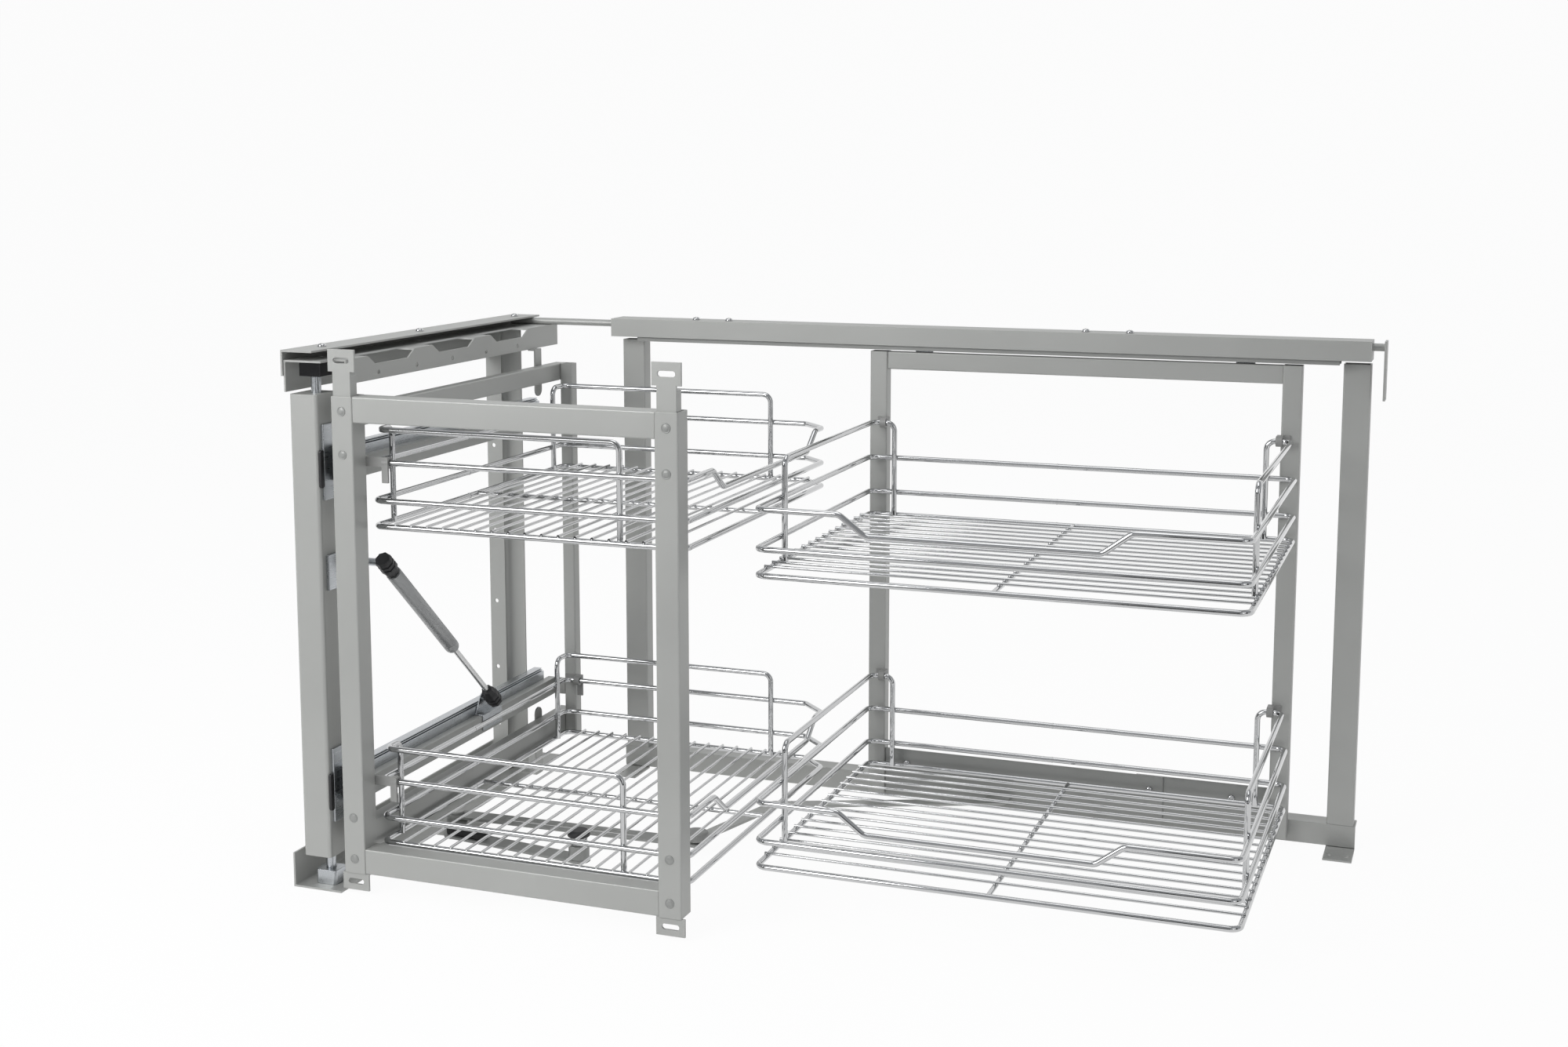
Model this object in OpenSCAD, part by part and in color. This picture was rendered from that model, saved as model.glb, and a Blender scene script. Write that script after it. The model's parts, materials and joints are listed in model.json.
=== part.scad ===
// Blind corner pull out: a swivelling front unit with two wire baskets that slides out
// on telescopic runners, and a rear unit with two wire baskets that rolls along a rail.
// Millimetres. The origin is on the floor, on the axis of the swivel column.
// +X runs to the blind side, +Y to the back of the cabinet, +Z up.

/* [Heights] */
// Top of the fixed frame above the floor
unit_h = 552; // [500:1:600]
// Underside of the door frame
frame_z0 = 22; // [20:1:26]
// Top of the fixed frame above the top of the door frame
frame_drop = 44; // [44:1:52]
// Centre of the rim wire of both lower baskets
low_floor_z = 48; // [47:1:56]
// Top of the fixed frame above the rim wire of the front upper basket
front_high_drop = 177; // [172:1:200]
// Top of the fixed frame above the rim wire of the rear upper basket
rear_high_drop = 212; // [205:1:225]

/* [Swivel column] */
// Width of the column
col_w = 32; // [26:1:34]
// Depth of the column
col_d = 40; // [36:1:44]
// Sheet thickness of the column
col_t = 2; // [1.5:0.1:3]
// Distance from the column's left face to the swivel axis
col_axis = 19; // [16:1:20]
// Diameter of the swivel pins
pin_d = 10; // [8:0.5:12]

/* [Telescopic runners] */
// Height of the outer runner
slide_h = 36; // [32:1:40]
// Thickness of a whole runner
slide_t = 13; // [12.5:0.1:14]
// Sheet thickness of the runner members
slide_wall = 1.2; // [1:0.1:1.4]
// Height of the lower runner's centre line
slide_low_z = 107; // [102:1:108]
// Top of the fixed frame above the upper runner's centre line
slide_high_drop = 114; // [112:1:122]
// How far the front unit pulls out
pull = 400; // [380:5:410]

/* [Front unit] */
// Width of the door frame
frame_w = 371; // [340:1:380]
// Width and depth of the square front posts
post = 24; // [22:0.5:26]
// Wall of the square tubes
tube_t = 1.5; // [1.2:0.1:2]
// Height of the two cross beams
beam_h = 26; // [20:1:30]
// Outer length of a front basket, from front to back
front_basket_len = 421; // [390:1:424]
// Outer width of a front basket
front_basket_w = 344; // [310:1:350]
// Cut corner of a front basket
basket_cut = 28; // [20:1:34]
// Side of the slim back post
back_post = 15; // [12:0.5:18]

/* [Rear unit] */
// Length of the top rail
rail_len = 863; // [850:1:900]
// Left end of the top rail
rail_x0 = 117; // [105:1:130]
// Depth of the top rail
rail_d = 34; // [32:1:38]
// Height of the rail's front face
rail_h = 21; // [20:1:24]
// Outer width of a rear basket
rear_basket_w = 474; // [450:1:480]
// Outer depth of a rear basket
rear_basket_d = 366; // [340:1:372]
// Left edge of the rear baskets
rear_basket_x0 = 437; // [435:1:445]
// Width of the carriage posts
carry_post_w = 20; // [18:0.5:24]
// Depth of the carriage posts
carry_post_d = 16; // [14:0.5:17]
// Width of the fixed rear posts
wall_post_w = 28; // [24:1:30]

/* [Wire] */
// Diameter of the rim and rail wires
wire_d = 6; // [5:0.1:6.4]
// Diameter of the floor wires
floor_d = 3; // [2.6:0.1:3.6]
// Spacing of the floor wires in the rear baskets
rear_pitch = 21.5; // [20:0.5:26]
// Spacing of the floor wires in the front baskets
front_pitch = 18; // [16:0.5:24]
// Height of the low rail above the rim
rail_low = 26; // [24:1:30]
// Height of the middle rail above the rim
rail_mid = 65; // [60:1:70]
// Height of the top wire above the rim
rail_top = 105; // [98:1:108]
// Height of the front baskets' top wire above the rim
front_rail_top = 97; // [92:1:105]
// How far the middle rail dips at the reaching side
dip = 20; // [15:1:24]

/* [Damper strut] */
// Diameter of the strut's cylinder
strut_d = 16; // [13:0.5:17]
// Diameter of the strut's rod
strut_rod_d = 6.4; // [5:0.1:8]
// Diameter of the ball sockets
socket_d = 18; // [15:0.5:18]

/* [Floor linkage] */
// Diameter of the linkage pins
link_pin_d = 8; // [6:0.5:9]
// Thickness of the flat arms
arm_t = 3; // [2.5:0.1:3.4]
// Travel of the spring catch
catch_travel = 4; // [3:0.5:6]

/* [Hidden] */
$fn = 48;
// Clearances and small common sizes
run_fit = 0.05;
clear = 0.3;
sheet = 2;
screw_d = 5;
screw_head_d = 9;
screw_head_h = 3.2;

// Heights that follow the top of the fixed frame
frame_z1 = unit_h - frame_drop;
front_high_z = unit_h - front_high_drop;
rear_high_z = unit_h - rear_high_drop;
slide_high_z = unit_h - slide_high_drop;

// Column and runner planes
col_x0 = -col_axis;
col_x1 = col_x0 + col_w;
col_z0 = 34;
col_z1 = frame_z1;
bracket_t = 3;
slide_x0 = col_x1 + bracket_t;
carriage_x0 = slide_x0 + slide_t;
slide_y0 = 2;
slide_overlap = 20;
slide_y1 = slide_y0 + pull + slide_overlap;
member_gap = 0.5;

// Front unit
front_y = -20;
frame_x1 = carriage_x0 + frame_w;
post_back_y = front_y + post;
basket_x0 = carriage_x0 + post + 1;
basket_x1 = basket_x0 + front_basket_w;
basket_y0 = post_back_y + 2;
basket_y1 = basket_y0 + front_basket_len;
back_post_x0 = basket_x0 - 2;
back_post_y0 = basket_y1 + 5;
side_beam_w = 14;
side_beam_x0 = back_post_x0 - side_beam_w;
side_high_z0 = frame_z1 - 31;
side_high_h = 20;
side_low_z0 = low_floor_z - 5;
side_low_h = 30;
slide_beam_t = 1.5;
slide_beam_flange = 10;
slide_beam_h = 20;
slide_beam_up = 5;
strut_plane = carriage_x0 + slide_beam_t + 2 + socket_d / 2;

// Strut pivots: the lower one rides on the front unit, the upper one on the column
strut_low_y = 272;
strut_low_up = 21;
strut_high_y = 52;
strut_high_up = 221;
strut_low = [strut_plane, strut_low_y, slide_low_z + strut_low_up];
strut_high = [strut_plane, strut_high_y, slide_low_z + strut_high_up];
strut_dy = strut_high[1] - strut_low[1];
strut_dz = strut_high[2] - strut_low[2];
strut_len = sqrt(strut_dy * strut_dy + strut_dz * strut_dz);
strut_tilt = atan2(-strut_dy, strut_dz);
socket_len = 28;
socket_tail = 8;
strut_tube_len = 160;
stud_d = 8;

// Fixed left frame
base_x0 = col_x0 - 11;
base_x1 = carriage_x0 - 3;
base_y0 = front_y - 3;
base_flange = 36;
upright_y = basket_y1 - 34;
base_y1 = basket_y1 + 43;
chan_z1 = unit_h - 11;
chan_drop = 32;
flange_drop = 25;
chan_x0 = base_x0 + 2;
chan_x1 = carriage_x0 + 1;
chan_y0 = -14;
chan_y1 = base_y1;
chan_right_y0 = post_back_y + 4;
angle_w = 36;
angle_drop = 26;
angle_x0 = base_x0;
angle_y0 = chan_y0 - 2;
tie_d = 8;
angle_top = chan_z1 + tie_d + sheet;

// Rear unit
rail_x1 = rail_x0 + rail_len;
rail_y0 = basket_y1 + 11;
rail_y1 = rail_y0 + rail_d;
rail_z0 = unit_h - rail_h;
track_z0 = rail_z0 - 5;
track_wall = 1.5;
track_inset = 4;
track_slot = 10;
carry_y0 = rail_y0 + 4;
carry_y1 = carry_y0 + carry_post_d;
carry_x0 = rear_basket_x0;
carry_x1 = rear_basket_x0 + rear_basket_w;
carry_z0 = 10;
carry_z1 = track_z0 - 2;
carry_bar_h = 20;
rear_basket_y1 = carry_y0 - 5;
rear_basket_y0 = rear_basket_y1 - rear_basket_d;
wall_post_y0 = carry_y1 + 2;
wall_post_y1 = rail_y1 + 6;
wall_post_in = [5, 1];
bottom_rail_z1 = 27;
bottom_rail_d = 24;
foot_w = 30;
foot_len = 40;
foot_hole_d = 5.5;
foot_pitch = 18;
roller_d = 16;
roller_w = 5;
roller_axle_d = 5;
slot_mid_y = (rail_y0 + rail_y1) / 2;
roller_z = track_z0 + track_wall + roller_d / 2 + clear;
roller_inset = 60;
tie_z = chan_z1 + tie_d / 2;
tie_y = slot_mid_y;
tie_in = 30;

// Side hoops of the baskets and the clips that hold the wires
hoop_in = wire_d * 0.7;
hoop_reach = 30;
hoop_r = 9;
hook_wall = 2.2;
hook_t = 2.4;
hook_w = hoop_reach - 2 * hoop_r - hoop_in - 0.8;
ring_r = wire_d / 2 + clear + hook_wall;

// Linkage on the floor
crank_in = 6;
crank_y = 197;
elbow_reach = 286;
elbow_y = 204;
bend_reach = 40;
bend_y = 340;
carry_pin_in = 157;
carry_pin_front = 6;
heel_reach = 22;
heel_y = 153;
catch_reach = 183;
catch_y = 131;
crank_pin = [carriage_x0 + crank_in, crank_y];
elbow_pin = [crank_pin[0] + elbow_reach, elbow_y];
strap_bend = [elbow_pin[0] + bend_reach, bend_y];
carry_pin = [rear_basket_x0 + carry_pin_in, carry_y0 - carry_pin_front];
catch_heel = [crank_pin[0] + heel_reach, heel_y];
catch_pin = [crank_pin[0] + catch_reach, catch_y];
arm_w = 24;
strap_w = 18;
catch_z = 6;
crank_z = catch_z + arm_t + 3;
strap_z = crank_z + arm_t + 1;
open_pivot = 2;
spring_d = 18;
spring_wire = 1.6;
spring_turns = 3;
bush_top = 24;
spring_solid = spring_turns * spring_wire + 0.2;
cap_z = bush_top + catch_travel + spring_solid;

// Paint and metal colours
paint = [0.66, 0.665, 0.65];
paint_dark = [0.52, 0.525, 0.51];
zinc = [0.72, 0.75, 0.78];
chrome = [0.85, 0.86, 0.87];
black = [0.08, 0.08, 0.085];
grey_plastic = [0.5, 0.5, 0.49];

// A block between two corners
module block(a, b) {
    translate(a) cube(b - a);
}

// Vector helpers for bent wire
function unit(v) = v / norm(v);
function turn(p, i) = acos(max(-1, min(1, unit(p[i] - p[i - 1]) * unit(p[i + 1] - p[i]))));
function setback(p, r, i) =
    i == 0 || i == len(p) - 1 ? 0 : r[i] * tan(turn(p, i) / 2);

// A round bar from one point to another
module bar(a, b, d) {
    v = b - a;
    l = norm(v);
    translate(a) rotate([0, acos(v[2] / l), atan2(v[1], v[0])]) cylinder(d = d, h = l);
}

// A round bend at corner i of a path, or a ball where the corner has no radius
module bend(p, r, i, d) {
    u = unit(p[i] - p[i - 1]);
    v = unit(p[i + 1] - p[i]);
    if (r[i] > 0) {
        s = p[i] - u * setback(p, r, i);
        c = p[i] + unit(v - u) * r[i] / cos(turn(p, i) / 2);
        ex = unit(s - c);
        ez = cross(ex, u);
        multmatrix([
            [ex[0], u[0], ez[0], c[0]],
            [ex[1], u[1], ez[1], c[1]],
            [ex[2], u[2], ez[2], c[2]],
            [0, 0, 0, 1]
        ]) rotate_extrude(angle = turn(p, i)) translate([r[i], 0]) circle(d = d);
    } else {
        translate(p[i]) sphere(d = d + 0.1);
    }
}

// A wire bent along a path p, with a bend radius r[i] at each corner
module wire(p, r, d) {
    for (i = [0 : len(p) - 2]) {
        u = unit(p[i + 1] - p[i]);
        bar(p[i] + u * setback(p, r, i), p[i + 1] - u * setback(p, r, i + 1), d);
    }
    for (i = [1 : len(p) - 2]) bend(p, r, i, d);
}

// A closed rail loop at height z, which may dip on its reaching side and may have a cut corner
module rail_loop(w, d, z, cut, dip_from, dip_to, drop) {
    r = 10;
    m = [w / 2, d, z];
    start = [[m, 0], [[0, d, z], r], [[0, 0, z], r]];
    side = drop == 0 ? [] : [
        [[dip_from, 0, z], 0], [[dip_from + drop, 0, z - drop], 0],
        [[dip_to - drop, 0, z - drop], 0], [[dip_to, 0, z], 0]
    ];
    corner = cut == 0 ? [[[w, 0, z], r]] : [[[w - cut, 0, z], 0], [[w, cut, z], 0]];
    end = [[[w, d, z], r], [m, 0]];
    path = concat(start, side, corner, end);
    wire([for (q = path) q[0]], [for (q = path) q[1]], wire_d);
}

// A side hoop: up at the hung side, round the corner, along the end and down again
module side_hoop(w, d, top, left) {
    front_gap = 70;
    x_end = left ? hoop_in : w - hoop_in;
    x_up = left ? hoop_reach : w - hoop_reach;
    y_up = d - hoop_in;
    wire(
        [[x_up, y_up, 0], [x_up, y_up, top], [x_end, y_up, top],
         [x_end, front_gap, top], [x_end, front_gap, 0]],
        [0, hoop_r, hoop_r, hoop_r, 0], wire_d);
}

// A wire basket of outer size w by d, hung at y = d and reached over y = 0
module basket(w, d, top, pitch, cut, dip_from, dip_to) {
    cw = w - wire_d;
    cd = d - wire_d;
    lift = wire_d / 2 + floor_d / 2 - 1;
    stub = 2;
    rows = floor((cd - pitch) / pitch);
    edge = (cd - (rows - 1) * pitch) / 2;
    translate([wire_d / 2, wire_d / 2, 0]) union() {
        rail_loop(cw, cd, 0, cut, 0, 0, 0);
        rail_loop(cw, cd, rail_low, cut, 0, 0, 0);
        rail_loop(cw, cd, rail_mid, cut, dip_from * cw, dip_to * cw, dip);
        for (left = [true, false]) side_hoop(cw, cd, top, left);
        bar([cw / 2, 0, 0], [cw / 2, cd, 0], wire_d - 1);
        for (i = [0 : rows - 1]) {
            y = edge + i * pitch;
            short = max(0, cut - y);
            bar([-stub, y, lift], [cw + stub - short, y, lift], floor_d);
        }
    }
}

module front_basket(z) {
    color(chrome) translate([basket_x1, basket_y0, z]) rotate([0, 0, 90])
        basket(front_basket_len, front_basket_w, front_rail_top, front_pitch, basket_cut, 0.16, 0.88);
}

module rear_basket(z) {
    color(chrome) translate([rear_basket_x0, rear_basket_y0, z])
        basket(rear_basket_w, rear_basket_d, rail_top, rear_pitch, 0, 0.18, 0.775);
}

module front_upper_basket() { front_basket(front_high_z); }
module front_lower_basket() { front_basket(low_floor_z); }
module rear_upper_basket() { rear_basket(rear_high_z); }
module rear_lower_basket() { rear_basket(low_floor_z); }

// A square tube along +Z
module tube(w, d, h, t) {
    difference() {
        cube([w, d, h]);
        translate([t, t, -1]) cube([w - 2 * t, d - 2 * t, h + 2]);
    }
}

// A flat arm through a list of points, with a round boss a little wider than the bar at each
boss_step = 1.6;
module flat_arm(pts, w) {
    for (i = [0 : len(pts) - 2]) {
        v = pts[i + 1] - pts[i];
        bar_w = w - boss_step;
        translate(pts[i]) rotate(atan2(v[1], v[0])) translate([0, -bar_w / 2]) square([norm(v), bar_w]);
    }
    for (q = pts) translate(q) circle(d = w);
}

// A slotted hole along x
module slot(l, d) {
    square([l - d, d], center = true);
    for (s = [-1, 1]) translate([s * (l - d) / 2, 0]) circle(d = d);
}

// A pan head screw standing on z = 0
module screw_head() {
    rim = 1.2;
    cylinder(d = screw_head_d, h = rim);
    translate([0, 0, rim])
        cylinder(d1 = screw_head_d * 0.86, d2 = screw_head_d * 0.6, h = screw_head_h - rim);
}

// Fixed left frame
floor_hole_y = [40, 380];
flange_hole_y = [120, 250, 330, 400];
base_hole_d = 6;
module base_channel() {
    color(paint) difference() {
        union() {
            block([base_x0, base_y0, 0], [base_x1, base_y1, sheet]);
            block([base_x0, base_y0, 0], [base_x0 + sheet, base_y1, base_flange]);
        }
        for (y = floor_hole_y) translate([col_x0, y, -1]) cylinder(d = base_hole_d, h = sheet + 2);
        for (y = flange_hole_y) translate([base_x0 - 1, y, base_flange * 0.62])
            rotate([0, 90, 0]) cylinder(d = base_hole_d, h = sheet + 2);
    }
}

upright_step = 20;
upright_d = 14;
upright_hole_d = 5;
upright_hole_z = [for (k = [0.11, 0.24, 0.39, 0.55, 0.74, 0.89]) k * chan_z1];
module rear_upright() {
    z1 = chan_z1 - sheet;
    x0 = chan_x0 + sheet;
    x1 = x0 + upright_step;
    x2 = x1 + upright_step;
    y1 = upright_y + upright_d;
    color(paint) difference() {
        union() {
            block([x0, upright_y, sheet], [x1, upright_y + sheet, z1]);
            block([x1 - sheet, upright_y, sheet], [x1, y1, z1]);
            block([x1 - sheet, y1 - sheet, sheet], [x2, y1, z1]);
        }
        for (z = upright_hole_z) translate([x0 + upright_step * 0.4, upright_y - 1, z])
            rotate([-90, 0, 0]) cylinder(d = upright_hole_d, h = sheet + 2);
    }
}

scallop_len = 92;
scallop_pitch = 128;
scallop_deep = 9;
scallop_slope = 14;
scallop_start = 40;
scallop_end = 12;
row_hole_d = 5;
row_up = 7;
row_pitch = 75;
row_in = 60;
screw_row = [30, 220, 440];
screw_x = angle_x0 + angle_w / 2;
module top_channel() {
    z0 = chan_z1 - chan_drop;
    flange_z0 = chan_z1 - flange_drop;
    last_scallop = chan_y1 - scallop_len - scallop_end;
    color(paint) difference() {
        union() {
            block([chan_x0, chan_y0, chan_z1 - sheet], [chan_x1, chan_y1, chan_z1]);
            block([chan_x0, chan_y0, z0], [chan_x0 + sheet, chan_y1, chan_z1]);
            block([chan_x1 - sheet, chan_right_y0, flange_z0], [chan_x1, chan_y1, chan_z1]);
        }
        block([col_x1 + 2, chan_y0 - 1, chan_z1 - sheet - 1],
              [chan_x1 + 1, chan_right_y0, chan_z1 + 1]);
        for (y = [chan_right_y0 + scallop_start : scallop_pitch : last_scallop])
            translate([screw_x + angle_w / 2 + 2, y, chan_z1]) rotate([90, 0, 90])
                linear_extrude(chan_x1 - screw_x) polygon([
                    [0, 1], [scallop_len, 1], [scallop_len, 0],
                    [scallop_len - scallop_slope, -scallop_deep],
                    [scallop_slope, -scallop_deep], [0, 0]
                ]);
        for (y = [chan_right_y0 + row_in : row_pitch : chan_y1 - row_in])
            translate([chan_x1 - sheet - 1, y, flange_z0 + row_up]) rotate([0, 90, 0])
                cylinder(d = row_hole_d, h = sheet + 2);
        for (y = screw_row) translate([screw_x, y, chan_z1 - sheet - 1])
            cylinder(d = screw_d, h = sheet + 2);
    }
}

module top_angle() {
    color(paint) difference() {
        union() {
            block([angle_x0, angle_y0, angle_top - sheet], [angle_x0 + angle_w, chan_y1, angle_top]);
            block([angle_x0, angle_y0, angle_top - angle_drop], [angle_x0 + sheet, chan_y1, angle_top]);
        }
        for (y = screw_row) translate([screw_x, y, angle_top - 2 * sheet])
            cylinder(d = screw_d, h = 3 * sheet);
    }
}

bolt_row = [102, 143, 562, 610];
screw_through = 3;
module long_screw(reach) {
    screw_head();
    translate([0, 0, -reach]) cylinder(d = screw_d, h = reach);
}
module frame_screws() {
    color(chrome) {
        for (y = screw_row) translate([screw_x, y, angle_top])
            long_screw(angle_top - chan_z1 + sheet + screw_through);
        for (x = bolt_row) translate([rail_x0 + x, slot_mid_y, unit_h])
            long_screw(2 * track_wall + 1);
    }
}

bearing_w = 24;
bearing_d = 22;
low_bearing_h = 15;
high_bearing_h = 14;
pin_deep = 11;
module lower_bearing() {
    color(zinc) difference() {
        translate([0, 0, sheet]) intersection() {
            cylinder(d = bearing_w + 5, h = low_bearing_h);
            translate([-bearing_w / 2, -bearing_d / 2, 0]) cube([bearing_w, bearing_d, low_bearing_h]);
        }
        translate([0, 0, sheet + low_bearing_h - pin_deep - 1])
            cylinder(d = pin_d + 2 * run_fit, h = pin_deep + 2);
    }
}

module upper_bearing() {
    z1 = chan_z1 - sheet;
    color(zinc) difference() {
        block([-bearing_w / 2, -bearing_d / 2, z1 - high_bearing_h],
              [bearing_w / 2, bearing_d / 2, z1]);
        translate([0, 0, z1 - high_bearing_h - 1]) cylinder(d = pin_d + 2 * run_fit, h = pin_deep + 2);
    }
}

// Guides that the front unit's side beams run past
stop_t = 2;
stop_w = 16;
stop_y = 372;
stop_high_y = 400;
stop_up = 14;
stop_x = side_beam_x0 - 2 - stop_t;
module upper_stop() {
    z1 = chan_z1 - flange_drop;
    z0 = side_high_z0 - 9;
    x0 = chan_x1 - sheet - stop_t;
    y0 = stop_high_y;
    y1 = y0 + stop_w;
    color(paint) {
        block([x0, y0, z1 - stop_t], [x0 + stop_t, y1, z1 + stop_up]);
        block([x0, y0, z1 - stop_t], [stop_x + stop_t, y1, z1]);
        block([stop_x, y0, z0], [stop_x + stop_t, y1, z1]);
        translate([stop_x, y0 + stop_w / 2, z0]) rotate([0, 90, 0])
            cylinder(d = stop_w, h = stop_t);
    }
}

module lower_stop() {
    z1 = side_low_z0 + side_low_h + 3;
    y0 = stop_y + 14;
    color(paint) {
        block([base_x1 - 18, y0, sheet], [stop_x + stop_t, y0 + stop_w, sheet + stop_t]);
        block([stop_x, y0, sheet], [stop_x + stop_t, y0 + stop_w, z1]);
        translate([stop_x, y0 + stop_w / 2, z1]) rotate([0, 90, 0]) cylinder(d = stop_w, h = stop_t);
    }
}

// Fixed rear frame
module tie_rod() {
    color(paint) bar([angle_x0 + 6, tie_y, tie_z], [rail_x0 + tie_in, tie_y, tie_z], tie_d);
}

module bolt_holes(z) {
    for (x = bolt_row) translate([rail_x0 + x, slot_mid_y, z - 2 * track_wall])
        cylinder(d = screw_d, h = 4 * track_wall);
}
module rail_cover() {
    color(paint) difference() {
        block([rail_x0, rail_y0, rail_z0], [rail_x1, rail_y1, unit_h]);
        block([rail_x0 + sheet, rail_y0 + track_wall, rail_z0 - 1],
              [rail_x1 - sheet, rail_y1 - track_wall, unit_h - track_wall]);
        bolt_holes(unit_h);
        bar([rail_x0 - 1, tie_y, tie_z], [rail_x1 + 1, tie_y, tie_z], tie_d);
    }
}

module rail_track() {
    y0 = rail_y0 + track_inset;
    y1 = rail_y1 - track_inset;
    x0 = rail_x0 + tie_in + 2;
    x1 = rail_x1 - tie_in - 2;
    z1 = unit_h - track_wall;
    half = track_slot / 2;
    color(paint_dark) difference() {
        block([x0, y0, track_z0], [x1, y1, z1]);
        block([x0 - 1, y0 + track_wall, track_z0 + track_wall],
              [x1 + 1, y1 - track_wall, z1 - track_wall]);
        block([x0 - 1, slot_mid_y - half, track_z0 - 1],
              [x1 + 1, slot_mid_y + half, track_z0 + 2 * track_wall]);
        bolt_holes(z1);
    }
}

wall_post_x = [rail_x0 + wall_post_in[0], rail_x1 - wall_post_in[1] - wall_post_w];
module rear_posts() {
    color(paint) for (x = wall_post_x)
        translate([x, wall_post_y0, bottom_rail_z1])
            tube(wall_post_w, wall_post_y1 - wall_post_y0, track_z0 - bottom_rail_z1, tube_t);
}

bottom_x0 = wall_post_x[0] - 2;
bottom_x1 = wall_post_x[1] + wall_post_w + 2;
module bottom_rail() {
    color(paint) {
        block([bottom_x0, wall_post_y0, bottom_rail_z1 - sheet],
              [bottom_x1, wall_post_y0 + bottom_rail_d, bottom_rail_z1]);
        block([bottom_x0, wall_post_y0, sheet + 1], [bottom_x1, wall_post_y0 + sheet, bottom_rail_z1]);
    }
}

foot_x = [bottom_x0, bottom_x1 - foot_w];
foot_hole_y = wall_post_y0 - foot_len + 14;
module rail_feet() {
    y1 = wall_post_y0 + sheet;
    color(paint) for (x = foot_x) difference() {
        union() {
            block([x, wall_post_y0 - foot_len, 0], [x + foot_w, y1 + sheet, sheet]);
            block([x, y1, 0], [x + foot_w, y1 + sheet, bottom_rail_z1 - sheet]);
        }
        for (s = [-1, 1]) translate([x + foot_w / 2 + s * foot_pitch / 2, foot_hole_y, -1])
            cylinder(d = foot_hole_d, h = sheet + 2);
    }
}

// Rod and plate that hold the rail's far end to the cabinet side
bracket_reach = 12;
bracket_h = 62;
bracket_w = 20;
bracket_sheet = 2.5;
bracket_hole_d = 5;
bracket_hole_z = [unit_h - 30, unit_h - 50];
module wall_bracket() {
    x1 = rail_x1 + bracket_reach;
    color(paint) difference() {
        union() {
            bar([rail_x1 - tie_in, tie_y, tie_z], [x1 + 1, tie_y, tie_z], tie_d);
            block([x1, tie_y - bracket_w / 2, unit_h - bracket_h],
                  [x1 + bracket_sheet, tie_y + bracket_w / 2, unit_h]);
        }
        for (z = bracket_hole_z) translate([x1 - 1, tie_y, z]) rotate([0, 90, 0])
            cylinder(d = bracket_hole_d, h = bracket_sheet + 2);
    }
}

// Floor plate with the spindle that the linkage turns on
pivot_head_d = 15;
module pivot_plate() {
    x0 = base_x1;
    top = crank_z + arm_t + clear;
    color(paint) {
        block([x0, crank_pin[1] - 34, 0], [crank_pin[0] + 24, crank_pin[1] + 34, sheet]);
        translate([crank_pin[0], crank_pin[1], 0]) {
            cylinder(d = pivot_head_d, h = catch_z - clear);
            cylinder(d = link_pin_d, h = top + 1);
            translate([0, 0, top]) cylinder(d = pivot_head_d, h = 2.5);
        }
    }
}

// Swivel column and what it carries
module soft_rect(w, d, r) {
    translate([r, 0]) square([w - 2 * r, d]);
    translate([0, r]) square([w, d - 2 * r]);
    for (x = [r, w - r], y = [r, d - r]) translate([x, y]) circle(r = r);
}

col_r = 4;
module column() {
    plate = 3;
    color(paint) translate([col_x0, -col_d / 2, 0]) difference() {
        translate([0, 0, col_z0]) linear_extrude(col_z1 - col_z0) soft_rect(col_w, col_d, col_r);
        translate([col_t, col_t, col_z0 + plate]) linear_extrude(col_z1 - col_z0 - 2 * plate)
            soft_rect(col_w - 2 * col_t, col_d - 2 * col_t, col_r - col_t / 2);
        translate([col_axis, col_d / 2, 0]) cylinder(d = pin_d, h = unit_h);
    }
}

pin_in = 14;
module column_pins() {
    z0 = sheet + low_bearing_h - pin_deep;
    z1 = chan_z1 - sheet - high_bearing_h + pin_deep;
    color(zinc) {
        translate([0, 0, z0]) cylinder(d = pin_d, h = col_z0 + pin_in - z0);
        translate([0, 0, col_z1 - pin_in]) cylinder(d = pin_d, h = z1 - col_z1 + pin_in);
    }
}

slide_z = [slide_low_z, slide_high_z];
bracket_y0 = -14;
bracket_below = 18;
bracket_above = 22;
module slide_brackets() {
    color(zinc) for (z = slide_z)
        block([col_x1, bracket_y0, z - slide_h / 2 - bracket_below],
              [slide_x0, col_d / 2 + 2, z + slide_h / 2 + bracket_above]);
}

bumper_h = 38;
bumper_drop = 4;
module slide_bumpers() {
    w = bracket_y0 - front_y;
    color(black) for (z = slide_z) translate([col_x1, front_y, z - bumper_drop - bumper_h / 2])
        rotate([90, 0, 90]) linear_extrude(bracket_t) soft_rect(w, bumper_h, w / 2 - 0.5);
}

// A channel of a runner: the back at x0, the lips towards x1
module runner(x0, x1, z, h, y0, y1) {
    s = x1 > x0 ? 1 : -1;
    back = [min(x0, x0 + s * slide_wall), max(x0, x0 + s * slide_wall)];
    lip = [min(x0, x1), max(x0, x1)];
    block([back[0], y0, z - h / 2], [back[1], y1, z + h / 2]);
    block([lip[0], y0, z - h / 2], [lip[1], y1, z - h / 2 + slide_wall]);
    block([lip[0], y0, z + h / 2 - slide_wall], [lip[1], y1, z + h / 2]);
}

middle_h = slide_h - 2 * (slide_wall + member_gap);
inner_h = middle_h - 2 * (slide_wall + member_gap);
module slide_outers() {
    color(zinc) for (z = slide_z)
        runner(slide_x0, slide_x0 + slide_t - 3, z, slide_h, slide_y0, slide_y1);
}
module slide_middles() {
    color(zinc) for (z = slide_z)
        runner(slide_x0 + 3, slide_x0 + slide_t - 2, z, middle_h, slide_y0, slide_y1);
}
module slide_inners() {
    color(zinc) for (z = slide_z)
        runner(carriage_x0, slide_x0 + 5.5, z, inner_h, slide_y0 + 2, slide_y1);
}

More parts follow.
